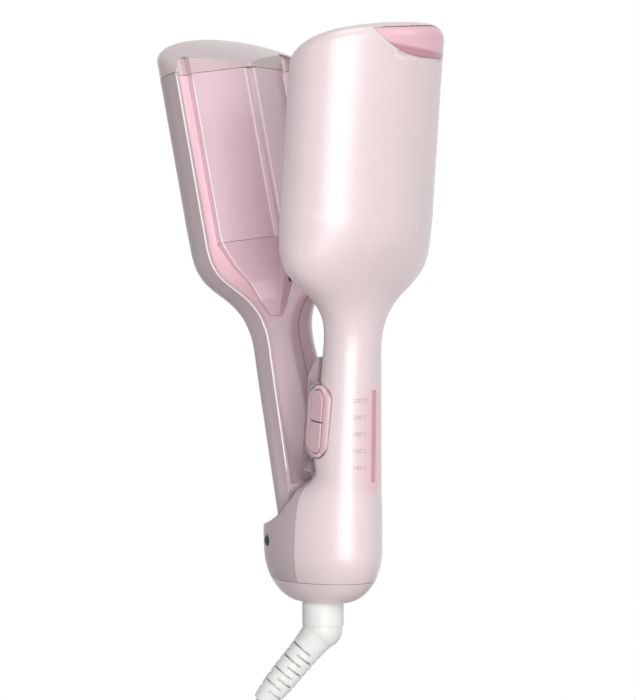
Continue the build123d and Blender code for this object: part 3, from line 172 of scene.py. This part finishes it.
def make_world():
    """A weak fill on the object, and white for what the camera and its reflections see."""
    world = bpy.data.worlds.new("world")
    bpy.context.scene.world = world
    world.use_nodes = True
    nodes, links = world.node_tree.nodes, world.node_tree.links
    nodes.clear()
    out = nodes.new("ShaderNodeOutputWorld")
    mix = nodes.new("ShaderNodeMixShader")
    path = nodes.new("ShaderNodeLightPath")
    fill = nodes.new("ShaderNodeBackground")
    fill.inputs["Color"].default_value = FILL_COLOUR
    fill.inputs["Strength"].default_value = FILL_STRENGTH
    white = nodes.new("ShaderNodeBackground")
    white.inputs["Color"].default_value = (1, 1, 1, 1)
    white.inputs["Strength"].default_value = 1.0
    seen = path.outputs["Is Camera Ray"]
    for ray in ("Is Glossy Ray", "Is Transmission Ray"):
        either = nodes.new("ShaderNodeMath")
        either.operation = "MAXIMUM"
        links.new(seen, either.inputs[0])
        links.new(path.outputs[ray], either.inputs[1])
        seen = either.outputs[0]
    links.new(seen, mix.inputs[0])
    links.new(fill.outputs[0], mix.inputs[1])
    links.new(white.outputs[0], mix.inputs[2])
    links.new(mix.outputs[0], out.inputs[0])


def make_floor():
    """A pale round floor that fades into the white round it."""
    mesh = bpy.data.meshes.new("floor")
    body = bmesh.new()
    bmesh.ops.create_circle(body, cap_ends=True, segments=FLOOR_SIDES, radius=FLOOR_RADIUS)
    bmesh.ops.translate(body, vec=(0, 0, FLOOR_Z), verts=body.verts)
    body.to_mesh(mesh)
    body.free()
    floor = bpy.data.objects.new("floor", mesh)
    bpy.context.collection.objects.link(floor)
    material = bpy.data.materials.new("floor")
    material.use_nodes = True
    nodes, links = material.node_tree.nodes, material.node_tree.links
    shader = nodes["Principled BSDF"]
    shader.inputs["Base Color"].default_value = (FLOOR_GREY, FLOOR_GREY, FLOOR_GREY, 1)
    shader.inputs["Roughness"].default_value = FLOOR_ROUGHNESS
    place = nodes.new("ShaderNodeTexCoord")
    length = nodes.new("ShaderNodeVectorMath")
    length.operation = "LENGTH"
    links.new(place.outputs["Object"], length.inputs[0])
    fade = nodes.new("ShaderNodeMapRange")
    fade.interpolation_type = "SMOOTHSTEP"
    fade.inputs["From Min"].default_value = FLOOR_FADE
    fade.inputs["From Max"].default_value = FLOOR_RADIUS
    links.new(length.outputs["Value"], fade.inputs["Value"])
    clear = nodes.new("ShaderNodeBsdfTransparent")
    mix = nodes.new("ShaderNodeMixShader")
    links.new(fade.outputs["Result"], mix.inputs[0])
    links.new(shader.outputs[0], mix.inputs[1])
    links.new(clear.outputs[0], mix.inputs[2])
    links.new(mix.outputs[0], nodes["Material Output"].inputs[0])
    mesh.materials.append(material)


make_world()
make_lamps()
make_floor()


# ---------------------------------------------------------------- materials
CLOUD_SCALE, CLOUD_DETAIL = 35.0, 4.0         # slow changes in colour and gloss
CLOUD_LOW, CLOUD_HIGH = 0.1, 0.9
COLOUR_DRIFT, GLOSS_DRIFT = 0.03, 0.04
GRAIN_SCALE, GRAIN_DETAIL = 900.0, 2.0        # the moulded surface
GRAIN_STRENGTH, GRAIN_DEPTH = 0.02, 0.0003
# painted shade in seams and hollows: as occlusion falls from the second level to the first, the
# colour darkens to the third share of itself
PAINTED_SHADE_FROM, PAINTED_SHADE_TO, PAINTED_SHADE_DEPTH = 0.15, 0.75, 0.35
PAINTED_SHADE_SAMPLES, EDGE_SAMPLES = 8, 6
SHARP = 28.0                                  # degrees; flatter edges are shaded smooth
ACROSS, HEIGHT, INLAY_FALL = (1, 0, 0), (0, 0, 1), (0.167, 0, 1)
# rounded edges, and painted shade in seams and hollows
SOFT = dict(edge=0.7, painted_shade_reach=1.6)
SHELL = ("#EEDADD", 0.38, dict(coat=1.0, coat_roughness=0.34, specular=1.0, **SOFT))
PLASTICS = {                                  # colour, roughness and the rest
    "shell_white": SHELL,
    "shell_front": SHELL,
    # painted shade: the shell's colour made darker and greyer for the walls that face away from
    # the lamps
    "shell_back": ("#D0BCC0", 0.4, dict(coat=0.3, coat_roughness=0.35, **SOFT)),
    # painted highlight: near-white for the bright lines along the rounded edges of the clamp
    "rim": ("#FBF4F4", 0.33, dict(coat=1.0, specular=1.0)),
    # the clamp's inner casing, which gets painted shade towards the bottom from its tint below
    "trim_low": ("#FCD6E0", 0.38, dict(coat=0.4, coat_roughness=0.25, edge=0.7)),
    "trim_pink": ("#FBD3DE", 0.38, dict(coat=0.4, coat_roughness=0.25, edge=0.7)),
    "prow_mauve": ("#E0C0CB", 0.33, dict(coat=0.8, edge=0.8, painted_shade_reach=1.2)),
    "inlay_pink": ("#FBC9D6", 0.34, dict(coat=0.4, edge=0.7)),
    "plate_pink": ("#E2C2CD", 0.33, dict(coat=1.0, specular=1.0, edge=0.6, painted_shade_reach=1.2)),
    "cap_pink": ("#D8C3C5", 0.33, dict(coat=0.7, coat_roughness=0.15, **SOFT)),
    "bezel_pink": ("#F3D0D8", 0.36, dict(edge=0.7, painted_shade_reach=0.6)),
    "button_mauve": ("#E6C3CC", 0.4, dict(coat=0.3, **SOFT)),
    "lens_pink": ("#E4A4AE", 0.22, dict(coat=0.4)),
    "print": ("#C4AEB3", 0.5, {}),
    "cord_white": ("#F6F7F4", 0.5, dict(coat=0.2)),
    "relief_white": ("#F8F9F6", 0.45, dict(coat=0.5, edge=0.4, painted_shade_reach=0.7)),
    "steel": ("#C6C6CA", 0.3, dict(metallic=1.0)),
    "black_steel": ("#2B2728", 0.45, dict(metallic=0.6)),
    "brass": ("#D8C08A", 0.28, dict(metallic=1.0)),
    "aluminium": ("#CFCFD2", 0.35, dict(metallic=1.0)),
    "ceramic": ("#EDEBE4", 0.6, {}),
    "board": ("#2E6B43", 0.45, dict(coat=0.3)),
    "dark": ("#2A2A2C", 0.5, {}),
    "bush": ("#DDDDD4", 0.5, {}),
}
# painted light laid into colours: a glow, and shade
PAINTED_LIGHT_TINTS = {                                     # colour, share, and where: direction, off at, on at
    # painted glow: a pinker patch on the front of the grip round the light strip, for the strip's
    # light
    "shell_front": ("#F2B9C6", 0.55, [
        (ACROSS, -10.0, 3.5), (ACROSS, 9.0, 5.0), (HEIGHT, -34.0, -26.0), (HEIGHT, 24.0, 14.0),
    ]),
    # painted shade: the clamp's inner casing darker and greyer towards the bottom, in the recess
    # by the hinge
    "trim_low": ("#C6ACB5", 1.0, [(HEIGHT, 78.0, 40.0)]),
    # painted shade: the inlay darker below a slanted line, on its side wall, and lighter on the
    # top face
    "inlay_pink": ("#D294A4", 1.0, [(INLAY_FALL, 186.0, 184.0)]),
}
OWN_LOOK = {                                  # nodes whose finish isn't their slot's own
    "main_outer_shell": "shell_front", "clamp_inner_shell": "trim_low",
    "clamp_lower_cap": "prow_mauve", "housing_screws": "black_steel", "prow_screw": "black_steel",
}


def srgb(text):
    """A colour given as hex, in linear light."""
    values = [int(text[i:i + 2], 16) / 255 for i in (1, 3, 5)]
    return tuple(v / 12.92 if v <= 0.04045 else ((v + 0.055) / 1.055) ** 2.4 for v in values)


def plastic(name, colour, roughness, coat=0.0, coat_roughness=0.2, metallic=0.0, specular=0.5,
            edge=0.0, painted_shade_reach=0.0):
    """Moulded plastic or painted metal: fine grain, slight cloudiness in colour and gloss.

    An edge is the width in mm over which corners look rounded, and the last argument is how far
    in mm painted shade reaches into seams, joints and hollows, darkening the colour there.
    """
    material = bpy.data.materials.new(name)
    material.use_nodes = True
    nodes, links = material.node_tree.nodes, material.node_tree.links
    shader = nodes["Principled BSDF"]
    place = nodes.new("ShaderNodeTexCoord")
    cloud = nodes.new("ShaderNodeTexNoise")
    cloud.inputs["Scale"].default_value = CLOUD_SCALE
    cloud.inputs["Detail"].default_value = CLOUD_DETAIL
    links.new(place.outputs["Object"], cloud.inputs["Vector"])
    ramp = nodes.new("ShaderNodeValToRGB")
    low, high = ramp.color_ramp.elements
    low.color = (*(max(c * (1 - COLOUR_DRIFT), 0) for c in colour), 1)
    low.position = CLOUD_LOW
    high.color = (*(min(c * (1 + COLOUR_DRIFT), 1) for c in colour), 1)
    high.position = CLOUD_HIGH
    links.new(cloud.outputs["Fac"], ramp.inputs["Fac"])
    tone = ramp.outputs["Color"]
    # painted shade: occlusion darkens the base colour in seams, joints and hollows
    if painted_shade_reach:
        hollow = nodes.new("ShaderNodeAmbientOcclusion")
        hollow.inputs["Distance"].default_value = painted_shade_reach * MM
        hollow.samples = PAINTED_SHADE_SAMPLES
        shade = nodes.new("ShaderNodeMapRange")
        shade.inputs["From Min"].default_value = PAINTED_SHADE_FROM
        shade.inputs["From Max"].default_value = PAINTED_SHADE_TO
        shade.inputs["To Min"].default_value = PAINTED_SHADE_DEPTH
        shade.inputs["To Max"].default_value = 1.0
        links.new(hollow.outputs["AO"], shade.inputs["Value"])
        darker = nodes.new("ShaderNodeVectorMath")
        darker.operation = "SCALE"
        links.new(tone, darker.inputs[0])
        links.new(shade.outputs["Result"], darker.inputs["Scale"])
        tone = darker.outputs["Vector"]
    links.new(tone, shader.inputs["Base Color"])
    gloss = nodes.new("ShaderNodeMapRange")
    gloss.inputs["To Min"].default_value = roughness - GLOSS_DRIFT
    gloss.inputs["To Max"].default_value = roughness + GLOSS_DRIFT
    links.new(cloud.outputs["Fac"], gloss.inputs["Value"])
    links.new(gloss.outputs["Result"], shader.inputs["Roughness"])
    fine = nodes.new("ShaderNodeTexNoise")
    fine.inputs["Scale"].default_value = GRAIN_SCALE
    fine.inputs["Detail"].default_value = GRAIN_DETAIL
    links.new(place.outputs["Object"], fine.inputs["Vector"])
    relief = nodes.new("ShaderNodeBump")
    relief.inputs["Strength"].default_value = GRAIN_STRENGTH
    relief.inputs["Distance"].default_value = GRAIN_DEPTH
    links.new(fine.outputs["Fac"], relief.inputs["Height"])
    if edge:
        worn = nodes.new("ShaderNodeBevel")
        worn.samples = EDGE_SAMPLES
        worn.inputs["Radius"].default_value = edge * MM
        links.new(worn.outputs["Normal"], relief.inputs["Normal"])
    links.new(relief.outputs["Normal"], shader.inputs["Normal"])
    shader.inputs["Metallic"].default_value = metallic
    shader.inputs["Specular IOR Level"].default_value = specular
    shader.inputs["Coat Weight"].default_value = coat
    shader.inputs["Coat Roughness"].default_value = coat_roughness
    return material


def tint(material, colour, strength, fades):
    """Another colour laid into a material where every fade is on."""
    nodes, links = material.node_tree.nodes, material.node_tree.links
    shader = nodes["Principled BSDF"]
    under = shader.inputs["Base Color"].links[0].from_socket
    place = nodes.new("ShaderNodeTexCoord")
    share = None
    for direction, start, end in fades:
        measure = nodes.new("ShaderNodeVectorMath")
        measure.operation = "DOT_PRODUCT"
        links.new(place.outputs["Object"], measure.inputs[0])
        measure.inputs[1].default_value = direction
        fade = nodes.new("ShaderNodeMapRange")
        fade.interpolation_type = "SMOOTHSTEP"
        fade.inputs["From Min"].default_value = start * MM
        fade.inputs["From Max"].default_value = end * MM
        links.new(measure.outputs["Value"], fade.inputs["Value"])
        both = nodes.new("ShaderNodeMath")
        both.operation = "MULTIPLY"
        both.inputs[0].default_value = strength
        if share:
            links.new(share, both.inputs[0])
        links.new(fade.outputs["Result"], both.inputs[1])
        share = both.outputs[0]
    mix = nodes.new("ShaderNodeMix")
    mix.data_type = "RGBA"
    links.new(share, mix.inputs["Factor"])
    links.new(under, mix.inputs[6])
    mix.inputs[7].default_value = (*colour, 1)
    links.new(mix.outputs[2], shader.inputs["Base Color"])


MATERIALS = {
    name: plastic(name, srgb(colour), roughness, **rest)
    for name, (colour, roughness, rest) in PLASTICS.items()
}
for name, (colour, strength, fades) in PAINTED_LIGHT_TINTS.items():
    tint(MATERIALS[name], srgb(colour), strength, fades)


def finish_of(node):
    """The material that a node, or the piece that stands for it, is made of."""
    return MATERIALS[OWN_LOOK.get(node, SUBPARTS[node]["material_slot"])]


def smooth_shading(mesh):
    """Smooth shading, but for the sharp edges."""
    mesh.shade_smooth()
    mesh.set_sharp_from_angle(angle=math.radians(SHARP))


for name in SUBPARTS:
    solid = frame["nodes"][name].data
    solid.materials.clear()
    solid.materials.append(finish_of(name))
    smooth_shading(solid)


# ---------------------------------------------------------------- pieces
def add_mesh(name, body, material, rides, smooth=True):
    """A bmesh made into a piece that rides on a body."""
    mesh = bpy.data.meshes.new(name)
    bmesh.ops.recalc_face_normals(body, faces=body.faces)
    body.to_mesh(mesh)
    body.free()
    for face in mesh.polygons:
        face.use_smooth = smooth
    mesh.materials.append(material)
    piece = bpy.data.objects.new(name, mesh)
    bpy.context.collection.objects.link(piece)
    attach(piece, rides)
    return piece


def bridge(body, rings):
    """Faces between rings of points that follow one another."""
    for ring, following in zip(rings, rings[1:]):
        for k, point in enumerate(ring):
            after = (k + 1) % len(ring)
            body.faces.new((point, ring[after], following[after], following[k]))


def mesh_tree(*meshes):
    """Ray casting against meshes."""
    body = bmesh.new()
    for mesh in meshes:
        body.from_mesh(mesh)
    tree = BVHTree.FromBMesh(body)
    body.free()
    return tree


def steps(low, high, step):
    """Values from low to high in even steps."""
    return [low + step * index for index in range(int((high - low) / step) + 1)]


# ---------------------------------------------------------------- arms
MERGE, CUT_MERGE = 1e-6, 1e-7                 # points this near in metres are one
RAY_START = 80.0                              # mm before an arm, for rays cast back at it
BEZEL_Y, BEZEL_HALF, BEZEL_TRIM = -12.0, 8.5, 0.4      # middle line, half width, taken off it
WINDOW_HALF, WINDOW_SHARE = 6.6, 0.66         # the window, and how much of it is kept
CREST_STATION = 160.0                         # where the crest's slope is measured
CREST_ROUND, CREST_CUTS = 7.0, 6              # half width of the rounding, and steps in it
NECK_LOW, NECK_HIGH, NECK_STEP = 77.0, 113.0, 2.0      # stations of the smoothed necks
NECK_NEAR = 0.01                              # a point this near in mm is at a station
ARMS = (                                      # lean, the rim's y, outward, casing, with its neck
    (MAIN_LEAN, -4.0, -1, "main_outer_shell", ("main_inner_shell", "main_lower_cap")),
    (CLAMP_LEAN, -1.6, 1, "clamp_outer_shell", ("clamp_inner_shell",)),
)
DEEP_NECK = ("main_inner_shell",)             # follows its casing's neck in depth too
skins = {}                                    # pieces that stand for a node, by its name


def arm_frame(lean):
    """Back and up an arm, and its origin on the hinge axis in metres."""
    turn = math.radians(lean)
    back = Vector((0, math.cos(turn), -math.sin(turn)))
    along = Vector((0, math.sin(turn), math.cos(turn)))
    return back, along, Vector((0, HINGE_Y, HINGE_Z)) * MM


def arm_point(lean, x, y, station):
    """A point in metres from arm-local millimetres."""
    back, along, origin = arm_frame(lean)
    return origin + Vector((x * MM, 0, 0)) + back * y * MM + along * station * MM


def arm_local(lean, point):
    """Arm-local millimetres of a point in metres."""
    back, along, origin = arm_frame(lean)
    offset = point - origin
    return offset.x / MM, offset.dot(back) / MM, offset.dot(along) / MM


def hermite(start, end, slope_start, slope_end, span, share):
    """A smooth passage between two values with given slopes at its ends."""
    s2, s3 = share * share, share ** 3
    return (
        (2 * s3 - 3 * s2 + 1) * start + (s3 - 2 * s2 + share) * span * slope_start
        + (3 * s2 - 2 * s3) * end + (s3 - s2) * span * slope_end
    )


def node_mesh(node):
    """A node's mesh, joined up, as a bmesh."""
    body = bmesh.new()
    body.from_mesh(frame["nodes"][node].data)
    bmesh.ops.remove_doubles(body, verts=body.verts, dist=MERGE)
    return body


def cut(body, place, normal):
    """Edges added to a mesh where a plane meets it."""
    bmesh.ops.bisect_plane(
        body, geom=body.verts[:] + body.edges[:] + body.faces[:], dist=CUT_MERGE,
        plane_co=place, plane_no=normal,
    )


def cut_across(body, lean, stations):
    """Edges added to a mesh at these stations."""
    _, along, origin = arm_frame(lean)
    for station in stations:
        cut(body, origin + along * station * MM, along)


def neck_profile(body, lean, rim, outward):
    """How far each station's half width and depth are from an even curve, as scales."""
    stations = steps(NECK_LOW - NECK_STEP, NECK_HIGH + NECK_STEP, NECK_STEP)
    cut_across(body, lean, stations)
    sizes = {station: [0.0, 0.0] for station in stations}
    for vert in body.verts:
        x, y, s = arm_local(lean, vert.co)
        station = round((s - NECK_LOW) / NECK_STEP) * NECK_STEP + NECK_LOW
        if station in sizes and abs(s - station) < NECK_NEAR:
            sizes[station][0] = max(sizes[station][0], abs(x))
            sizes[station][1] = max(sizes[station][1], (y - rim) * outward)
    span = NECK_HIGH - NECK_LOW
    scales = []
    for axis in (0, 1):
        before, first = sizes[stations[0]][axis], sizes[stations[1]][axis]
        last, after = sizes[stations[-2]][axis], sizes[stations[-1]][axis]
        slopes = ((first - before) / NECK_STEP, (after - last) / NECK_STEP)
        scales.append([
            hermite(first, last, *slopes, span, (station - NECK_LOW) / span) / sizes[station][axis]
            for station in stations[1:-1]
        ])
    return scales


def neck_scale(scales, station):
    """A scale between the listed stations; 1 beyond them."""
    place = (station - NECK_LOW) / NECK_STEP
    if not 0 < place < len(scales) - 1:
        return 1.0
    low = int(place)
    return scales[low] + (scales[low + 1] - scales[low]) * (place - low)


def even_neck(body, lean, rim, widths, depths):
    """A mesh's neck moved onto the even curve."""
    for vert in body.verts:
        x, y, s = arm_local(lean, vert.co)
        vert.co = arm_point(
            lean, x * neck_scale(widths, s), rim + (y - rim) * neck_scale(depths, s), s
        )


def dress_node(node, body):
    """A reshaped mesh that stands for a node, with its node's finish."""
    piece = add_mesh(node + "_skin", body, finish_of(node), frame["nodes"][node]["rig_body"])
    smooth_shading(piece.data)
    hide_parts(node)
    skins[node] = piece


def make_arms():
    """The casings with even necks, and what follows them."""
    for lean, rim, outward, casing, others in ARMS:
        body = node_mesh(casing)
        widths, depths = neck_profile(body, lean, rim, outward)
        even_neck(body, lean, rim, widths, depths)
        dress_node(casing, body)
        for node in others:
            body = node_mesh(node)
            cut_across(body, lean, steps(NECK_LOW, NECK_HIGH, NECK_STEP))
            level = [1.0] * len(depths)
            even_neck(body, lean, rim, widths, depths if node in DEEP_NECK else level)
            dress_node(node, body)


def make_controls():
    """The button bezel with a narrower window, and its buttons."""
    kept = WINDOW_HALF * WINDOW_SHARE
    grow = (BEZEL_HALF - BEZEL_TRIM - kept) / (BEZEL_HALF - WINDOW_HALF)
    for node in ("button_bezel", "plus_button", "minus_button"):
        body = node_mesh(node)
        for vert in body.verts:
            x, y, s = arm_local(MAIN_LEAN, vert.co)
            off = abs(y - BEZEL_Y)
            off = off * WINDOW_SHARE if off <= WINDOW_HALF else kept + (off - WINDOW_HALF) * grow
            vert.co = arm_point(MAIN_LEAN, x, BEZEL_Y + math.copysign(off, y - BEZEL_Y), s)
        dress_node(node, body)


def make_crest():
    """The clamp plate with its crest rounded, so that it catches the light."""
    body = node_mesh("clamp_plate")
    tree = BVHTree.FromBMesh(body)
    back = arm_frame(CLAMP_LEAN)[0]
    depths = []
    for x in (CREST_ROUND, CREST_ROUND * 2):
        start = arm_point(CLAMP_LEAN, x, -RAY_START, CREST_STATION)
        depths.append(arm_local(CLAMP_LEAN, tree.ray_cast(start, back)[0])[1])
    slope = (depths[1] - depths[0]) / CREST_ROUND
    for index in range(-CREST_CUTS, CREST_CUTS + 1):
        cut(body, (CREST_ROUND * index / CREST_CUTS * MM, 0, 0), ACROSS)
    for vert in body.verts:
        x, y, s = arm_local(CLAMP_LEAN, vert.co)
        if abs(x) < CREST_ROUND:
            drop = slope * (CREST_ROUND / 2 + x * x / (2 * CREST_ROUND) - abs(x))
            vert.co = arm_point(CLAMP_LEAN, x, y + drop, s)
    dress_node("clamp_plate", body)


make_arms()
make_controls()
make_crest()


# ---------------------------------------------------------------- print and trim
SCALE = ("220°C", "200°C", "180°C", "160°C", "140°C")
SCALE_TOP, SCALE_PITCH = 62.9, 8.05           # station of the top number, and the step down
SCALE_X, SCALE_HIGH = -4.8, 2.05
FONT_FILL = 1.35                              # font size over the height of its digits
PRINT_THICK, PRINT_START = 0.05, 60.0         # and where its rays start, mm before the arm
PRINT_MERGE = 1e-5
BEAD_SIDES, BEAD_END = 10, 0.3                # and how much of its width is left at the ends
RIM_LOW, RIM_HIGH, RIM_STEP, RIM_RADIUS = 24.0, 226.0, 3.0, 0.45
RIM_Y, RIM_START = -1.25, 60.0                # the casing's edge, and where rays at it start
RIM_SINK, RIM_RISE = 0.46, 0.35               # into the casing, and out towards the main arm
EDGE_REACH, EDGE_STEP = 45.0, 0.2             # how the plate's edge is looked for, from outside
EDGE_LOW, EDGE_HIGH, EDGE_RADIUS = 107.0, 222.0, 0.4
WELL_RADIUS, WELL_THICK, WELL_X, WELL_SIDES = 2.6, 0.4, 20.2, 24


def print_text(name, text, station, tree):
    """Letters laid on the front of the grip."""
    data = bpy.data.curves.new(name, "FONT")
    data.body = text
    data.align_x, data.align_y = "CENTER", "CENTER"
    data.size = SCALE_HIGH * FONT_FILL
    data.extrude = PRINT_THICK
    holder = bpy.data.objects.new(name + "_text", data)
    bpy.context.collection.objects.link(holder)
    bpy.context.view_layer.update()
    shown = holder.evaluated_get(bpy.context.evaluated_depsgraph_get())
    flat = bpy.data.meshes.new_from_object(shown)
    bpy.data.objects.remove(holder)
    body = bmesh.new()
    body.from_mesh(flat)
    bmesh.ops.remove_doubles(body, verts=body.verts, dist=PRINT_MERGE)
    bpy.data.meshes.remove(flat)
    back = arm_frame(MAIN_LEAN)[0]
    for vert in body.verts:
        start = arm_point(MAIN_LEAN, SCALE_X + vert.co.x, -PRINT_START, station + vert.co.y)
        place, normal = tree.ray_cast(start, back)[:2]
        vert.co = place + normal * vert.co.z * MM
    add_mesh(name, body, MATERIALS["print"], "handle", smooth=False)


def make_print():
    """The numbers beside the light strip, from the top down."""
    tree = mesh_tree(skins["main_outer_shell"].data)
    for index, text in enumerate(SCALE):
        station = SCALE_TOP - SCALE_PITCH * index
        print_text("scale_number_%d" % (index + 1), text, station, tree)


def bead(name, points, radius):
    """A round bead along points on the clamp arm, its ends drawn in, coloured near-white as a
    painted highlight.
    """
    body = bmesh.new()
    rings = []
    for index, point in enumerate(points):
        way = points[min(index + 1, len(points) - 1)] - points[max(index - 1, 0)]
        turn = way.to_track_quat("Z", "Y")
        wide = radius * (BEAD_END if index in (0, len(points) - 1) else 1.0) * MM
        ring = []
        for k in range(BEAD_SIDES):
            angle = 2 * math.pi * k / BEAD_SIDES
            offset = Vector((wide * math.cos(angle), wide * math.sin(angle), 0))
            ring.append(body.verts.new(point + turn @ offset))
        rings.append(ring)
    bridge(body, rings)
    body.faces.new(rings[0])
    body.faces.new(rings[-1])
    add_mesh(name, body, MATERIALS["rim"], "clamp_arm")


def make_rims():
    """A rounded lip along the edge of the clamp casing, on both sides, coloured near-white as a
    painted highlight.
    """
    tree = mesh_tree(skins["clamp_outer_shell"].data)
    back = arm_frame(CLAMP_LEAN)[0]
    for side, name in ((-1, "clamp_rim_highlight_left"), (1, "clamp_rim_highlight_right")):
        sink = Vector((side * RIM_SINK * MM, 0, 0))
        points = []
        for station in steps(RIM_LOW, RIM_HIGH, RIM_STEP):
            start = arm_point(CLAMP_LEAN, side * RIM_START, RIM_Y, station)
            place = tree.ray_cast(start, Vector((-side, 0, 0)))[0]
            if place:
                points.append(place - sink - back * RIM_RISE * MM)
        bead(name, points, RIM_RADIUS)


def plate_edge(tree, side, station):
    """The top edge of the clamp plate, or of the prow below it, at a station."""
    back = arm_frame(CLAMP_LEAN)[0]
    last, last_depth = None, 0.0
    for index in range(int(EDGE_REACH / EDGE_STEP)):
        x = side * (EDGE_REACH - index * EDGE_STEP)
        place = tree.ray_cast(arm_point(CLAMP_LEAN, x, -RAY_START, station), back)[0]
        depth = arm_local(CLAMP_LEAN, place)[1] if place else 0.0
        if place and last and abs(depth - last_depth) < EDGE_STEP:
            return last
        last, last_depth = place, depth
    return None


def make_plate_edges():
    """A rounded edge round the raised plate and the prow, coloured near-white as a painted
    highlight.
    """
    tree = mesh_tree(*(frame["nodes"][node].data for node in ("clamp_plate", "clamp_lower_cap")))
    for side, name in ((-1, "plate_edge_highlight_left"), (1, "plate_edge_highlight_right")):
        places = [plate_edge(tree, side, s) for s in steps(EDGE_LOW, EDGE_HIGH, RIM_STEP)]
        points = [place for place in places if place]
        middle = [(a + b * 2 + c) / 4 for a, b, c in zip(points, points[1:], points[2:])]
        bead(name, points[:1] + middle + points[-1:], EDGE_RADIUS)


def make_screw_wells():
    """Dark discs in the wells of the casing screws: painted shade for the recesses."""
    low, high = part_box("housing_screws")
    middle = (Vector(low) + Vector(high)) / 2
    for side, name in ((-1, "screw_well_shade_left"), (1, "screw_well_shade_right")):
        body = bmesh.new()
        turn = Vector((side, 0, 0)).to_track_quat("Z", "Y").to_matrix().to_4x4()
        bmesh.ops.create_cone(
            body, cap_ends=True, segments=WELL_SIDES, radius1=WELL_RADIUS * MM,
            radius2=WELL_RADIUS * MM, depth=WELL_THICK * MM,
        )
        place = Vector((side * WELL_X * MM, middle[1], middle[2]))
        bmesh.ops.transform(body, matrix=Matrix.Translation(place) @ turn, verts=body.verts)
        add_mesh(name, body, MATERIALS["dark"], "handle", smooth=False)


make_print()
make_rims()
make_plate_edges()
make_screw_wells()


# ---------------------------------------------------------------- cord
CORD_DIAMETER = 7.0
CORD_EXIT = (-22.18, 18.61, -134.15)
LEAD = [                      # out of the relief and into the hank's rear run
    CORD_EXIT, (-27.96, 23.46, -143.47), (-31.5, 30.0, -154.0), (-33.8, 38.0, -165.95),
    (-34.06, 44.0, -177.95),
]
HANK_X, HANK_TOP, HANK_BOTTOM, HANK_FOLD = -13.06, -189.95, -294.8, 21.6
HANK_REAR, HANK_PITCH = 44.5, 7.15
HANK_SHIFT = (0.31, 0.5, 0.19)                # pitches forward: at first, per fold, round a fold
HANK_POINTS = 7               # on each fold
HANK_FOLDS = 9
TAIL = [                      # up through the loop, over and down to the plug
    (6.6, 10.2, -268.0), (-0.5, 8.6, -246.0), (-3.0, 7.28, -210.0), (19.5, 7.28, -185.4),
    (45.5, 7.28, -184.41), (69.02, 7.28, -208.45), (69.02, 7.28, -242.45),
]
FOLD_DRIFT = (1.5, -2.5, 0.5, -1.0, 2.5, -0.5, 1.0, -2.0, 2.0)     # how unevenly the folds lie
TIE_SLACK, TIE_CORNER, TIE_THICK = 0.6, 5.0, 1.3
TIE_STEPS, TIE_EDGE = 6, 0.3                  # steps in a corner; bevel, as a share of thickness


def hank_points():
    """Folds at the bottom and top in turn, a cord's width apart, from the rear forward."""
    step = 180 / HANK_POINTS
    reach = HANK_FOLD / math.cos(math.radians(step / 2))
    spacing = 2 * HANK_FOLD * math.tan(math.radians(step / 2))
    first, per_fold, per_turn = HANK_SHIFT
    points = []
    for fold in range(HANK_FOLDS):
        bottom = fold % 2 == 0
        way = -1 if bottom else 1
        drift = FOLD_DRIFT[fold]
        middle = HANK_BOTTOM + abs(drift) if bottom else HANK_TOP + drift
        for index in range(-1, HANK_POINTS + 1):
            angle = math.radians((180 if bottom else 0) + step * (index + 0.5))
            forward = first + per_fold * fold + per_turn * (index + 0.5) / HANK_POINTS
            across, level = reach * math.cos(angle), middle + reach * math.sin(angle)
            if index in (-1, HANK_POINTS):        # on the run, as far on as the next point is
                across = math.copysign(HANK_FOLD, across)
                level = middle - way * (spacing - reach * math.sin(math.radians(step / 2)))
            points.append((HANK_X + across, HANK_REAR - HANK_PITCH * forward, level))
    return points


def make_cord():
    """One round cord from the relief, through the hank, to the plug."""
    data = bpy.data.curves.new("power_cord", "CURVE")
    data.dimensions = "3D"
    data.bevel_depth = CORD_DIAMETER / 2 * MM
    data.bevel_resolution = 6
    data.resolution_u = 8
    data.use_fill_caps = True
    points = LEAD + hank_points() + TAIL
    spline = data.splines.new("NURBS")
    spline.points.add(len(points) - 1)
    for point, place in zip(spline.points, points):
        point.co = (*(Vector(place) * MM), 1)
    spline.order_u = 3
    spline.use_endpoint_u = True
    data.materials.append(MATERIALS["cord_white"])
    cord = bpy.data.objects.new("power_cord", data)
    bpy.context.collection.objects.link(cord)
    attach(cord, "cord")
    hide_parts("cord_lead", "cord_hank", "cord_tail")
    return cord


def make_tie():
    """A soft flat strap round the hank and the tail."""
    low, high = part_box("hank_tie")
    half = Vector((high[0] - low[0], high[1] - low[1], 0)) / 2
    centre = Vector((low[0] + half.x, low[1] + half.y, (low[2] + high[2]) / 2))
    half.y += TIE_SLACK * MM
    wide = (high[2] - low[2]) / 2
    corner, thick = TIE_CORNER * MM, TIE_THICK * MM
    edge = thick * TIE_EDGE
    section = (
        (0, wide - edge), (edge, wide), (thick - edge, wide), (thick, wide - edge),
        (thick, edge - wide), (thick - edge, -wide), (edge, -wide), (0, edge - wide),
    )
    body = bmesh.new()
    rings = []
    for cx, cy, start in ((1, 1, 0), (-1, 1, 90), (-1, -1, 180), (1, -1, 270)):
        base = centre + Vector((cx * (half.x - corner), cy * (half.y - corner), 0))
        for index in range(TIE_STEPS + 1):
            angle = math.radians(start + 90 * index / TIE_STEPS)
            out = Vector((math.cos(angle), math.sin(angle), 0))
            rings.append([
                body.verts.new(base + out * (corner - depth) + rise(level))
                for depth, level in section
            ])
    bridge(body, rings + rings[:1])
    tie = add_mesh("strap_tie", body, MATERIALS["dark"], "cord")
    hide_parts("hank_tie")
    return tie


cord = make_cord()
tie = make_tie()
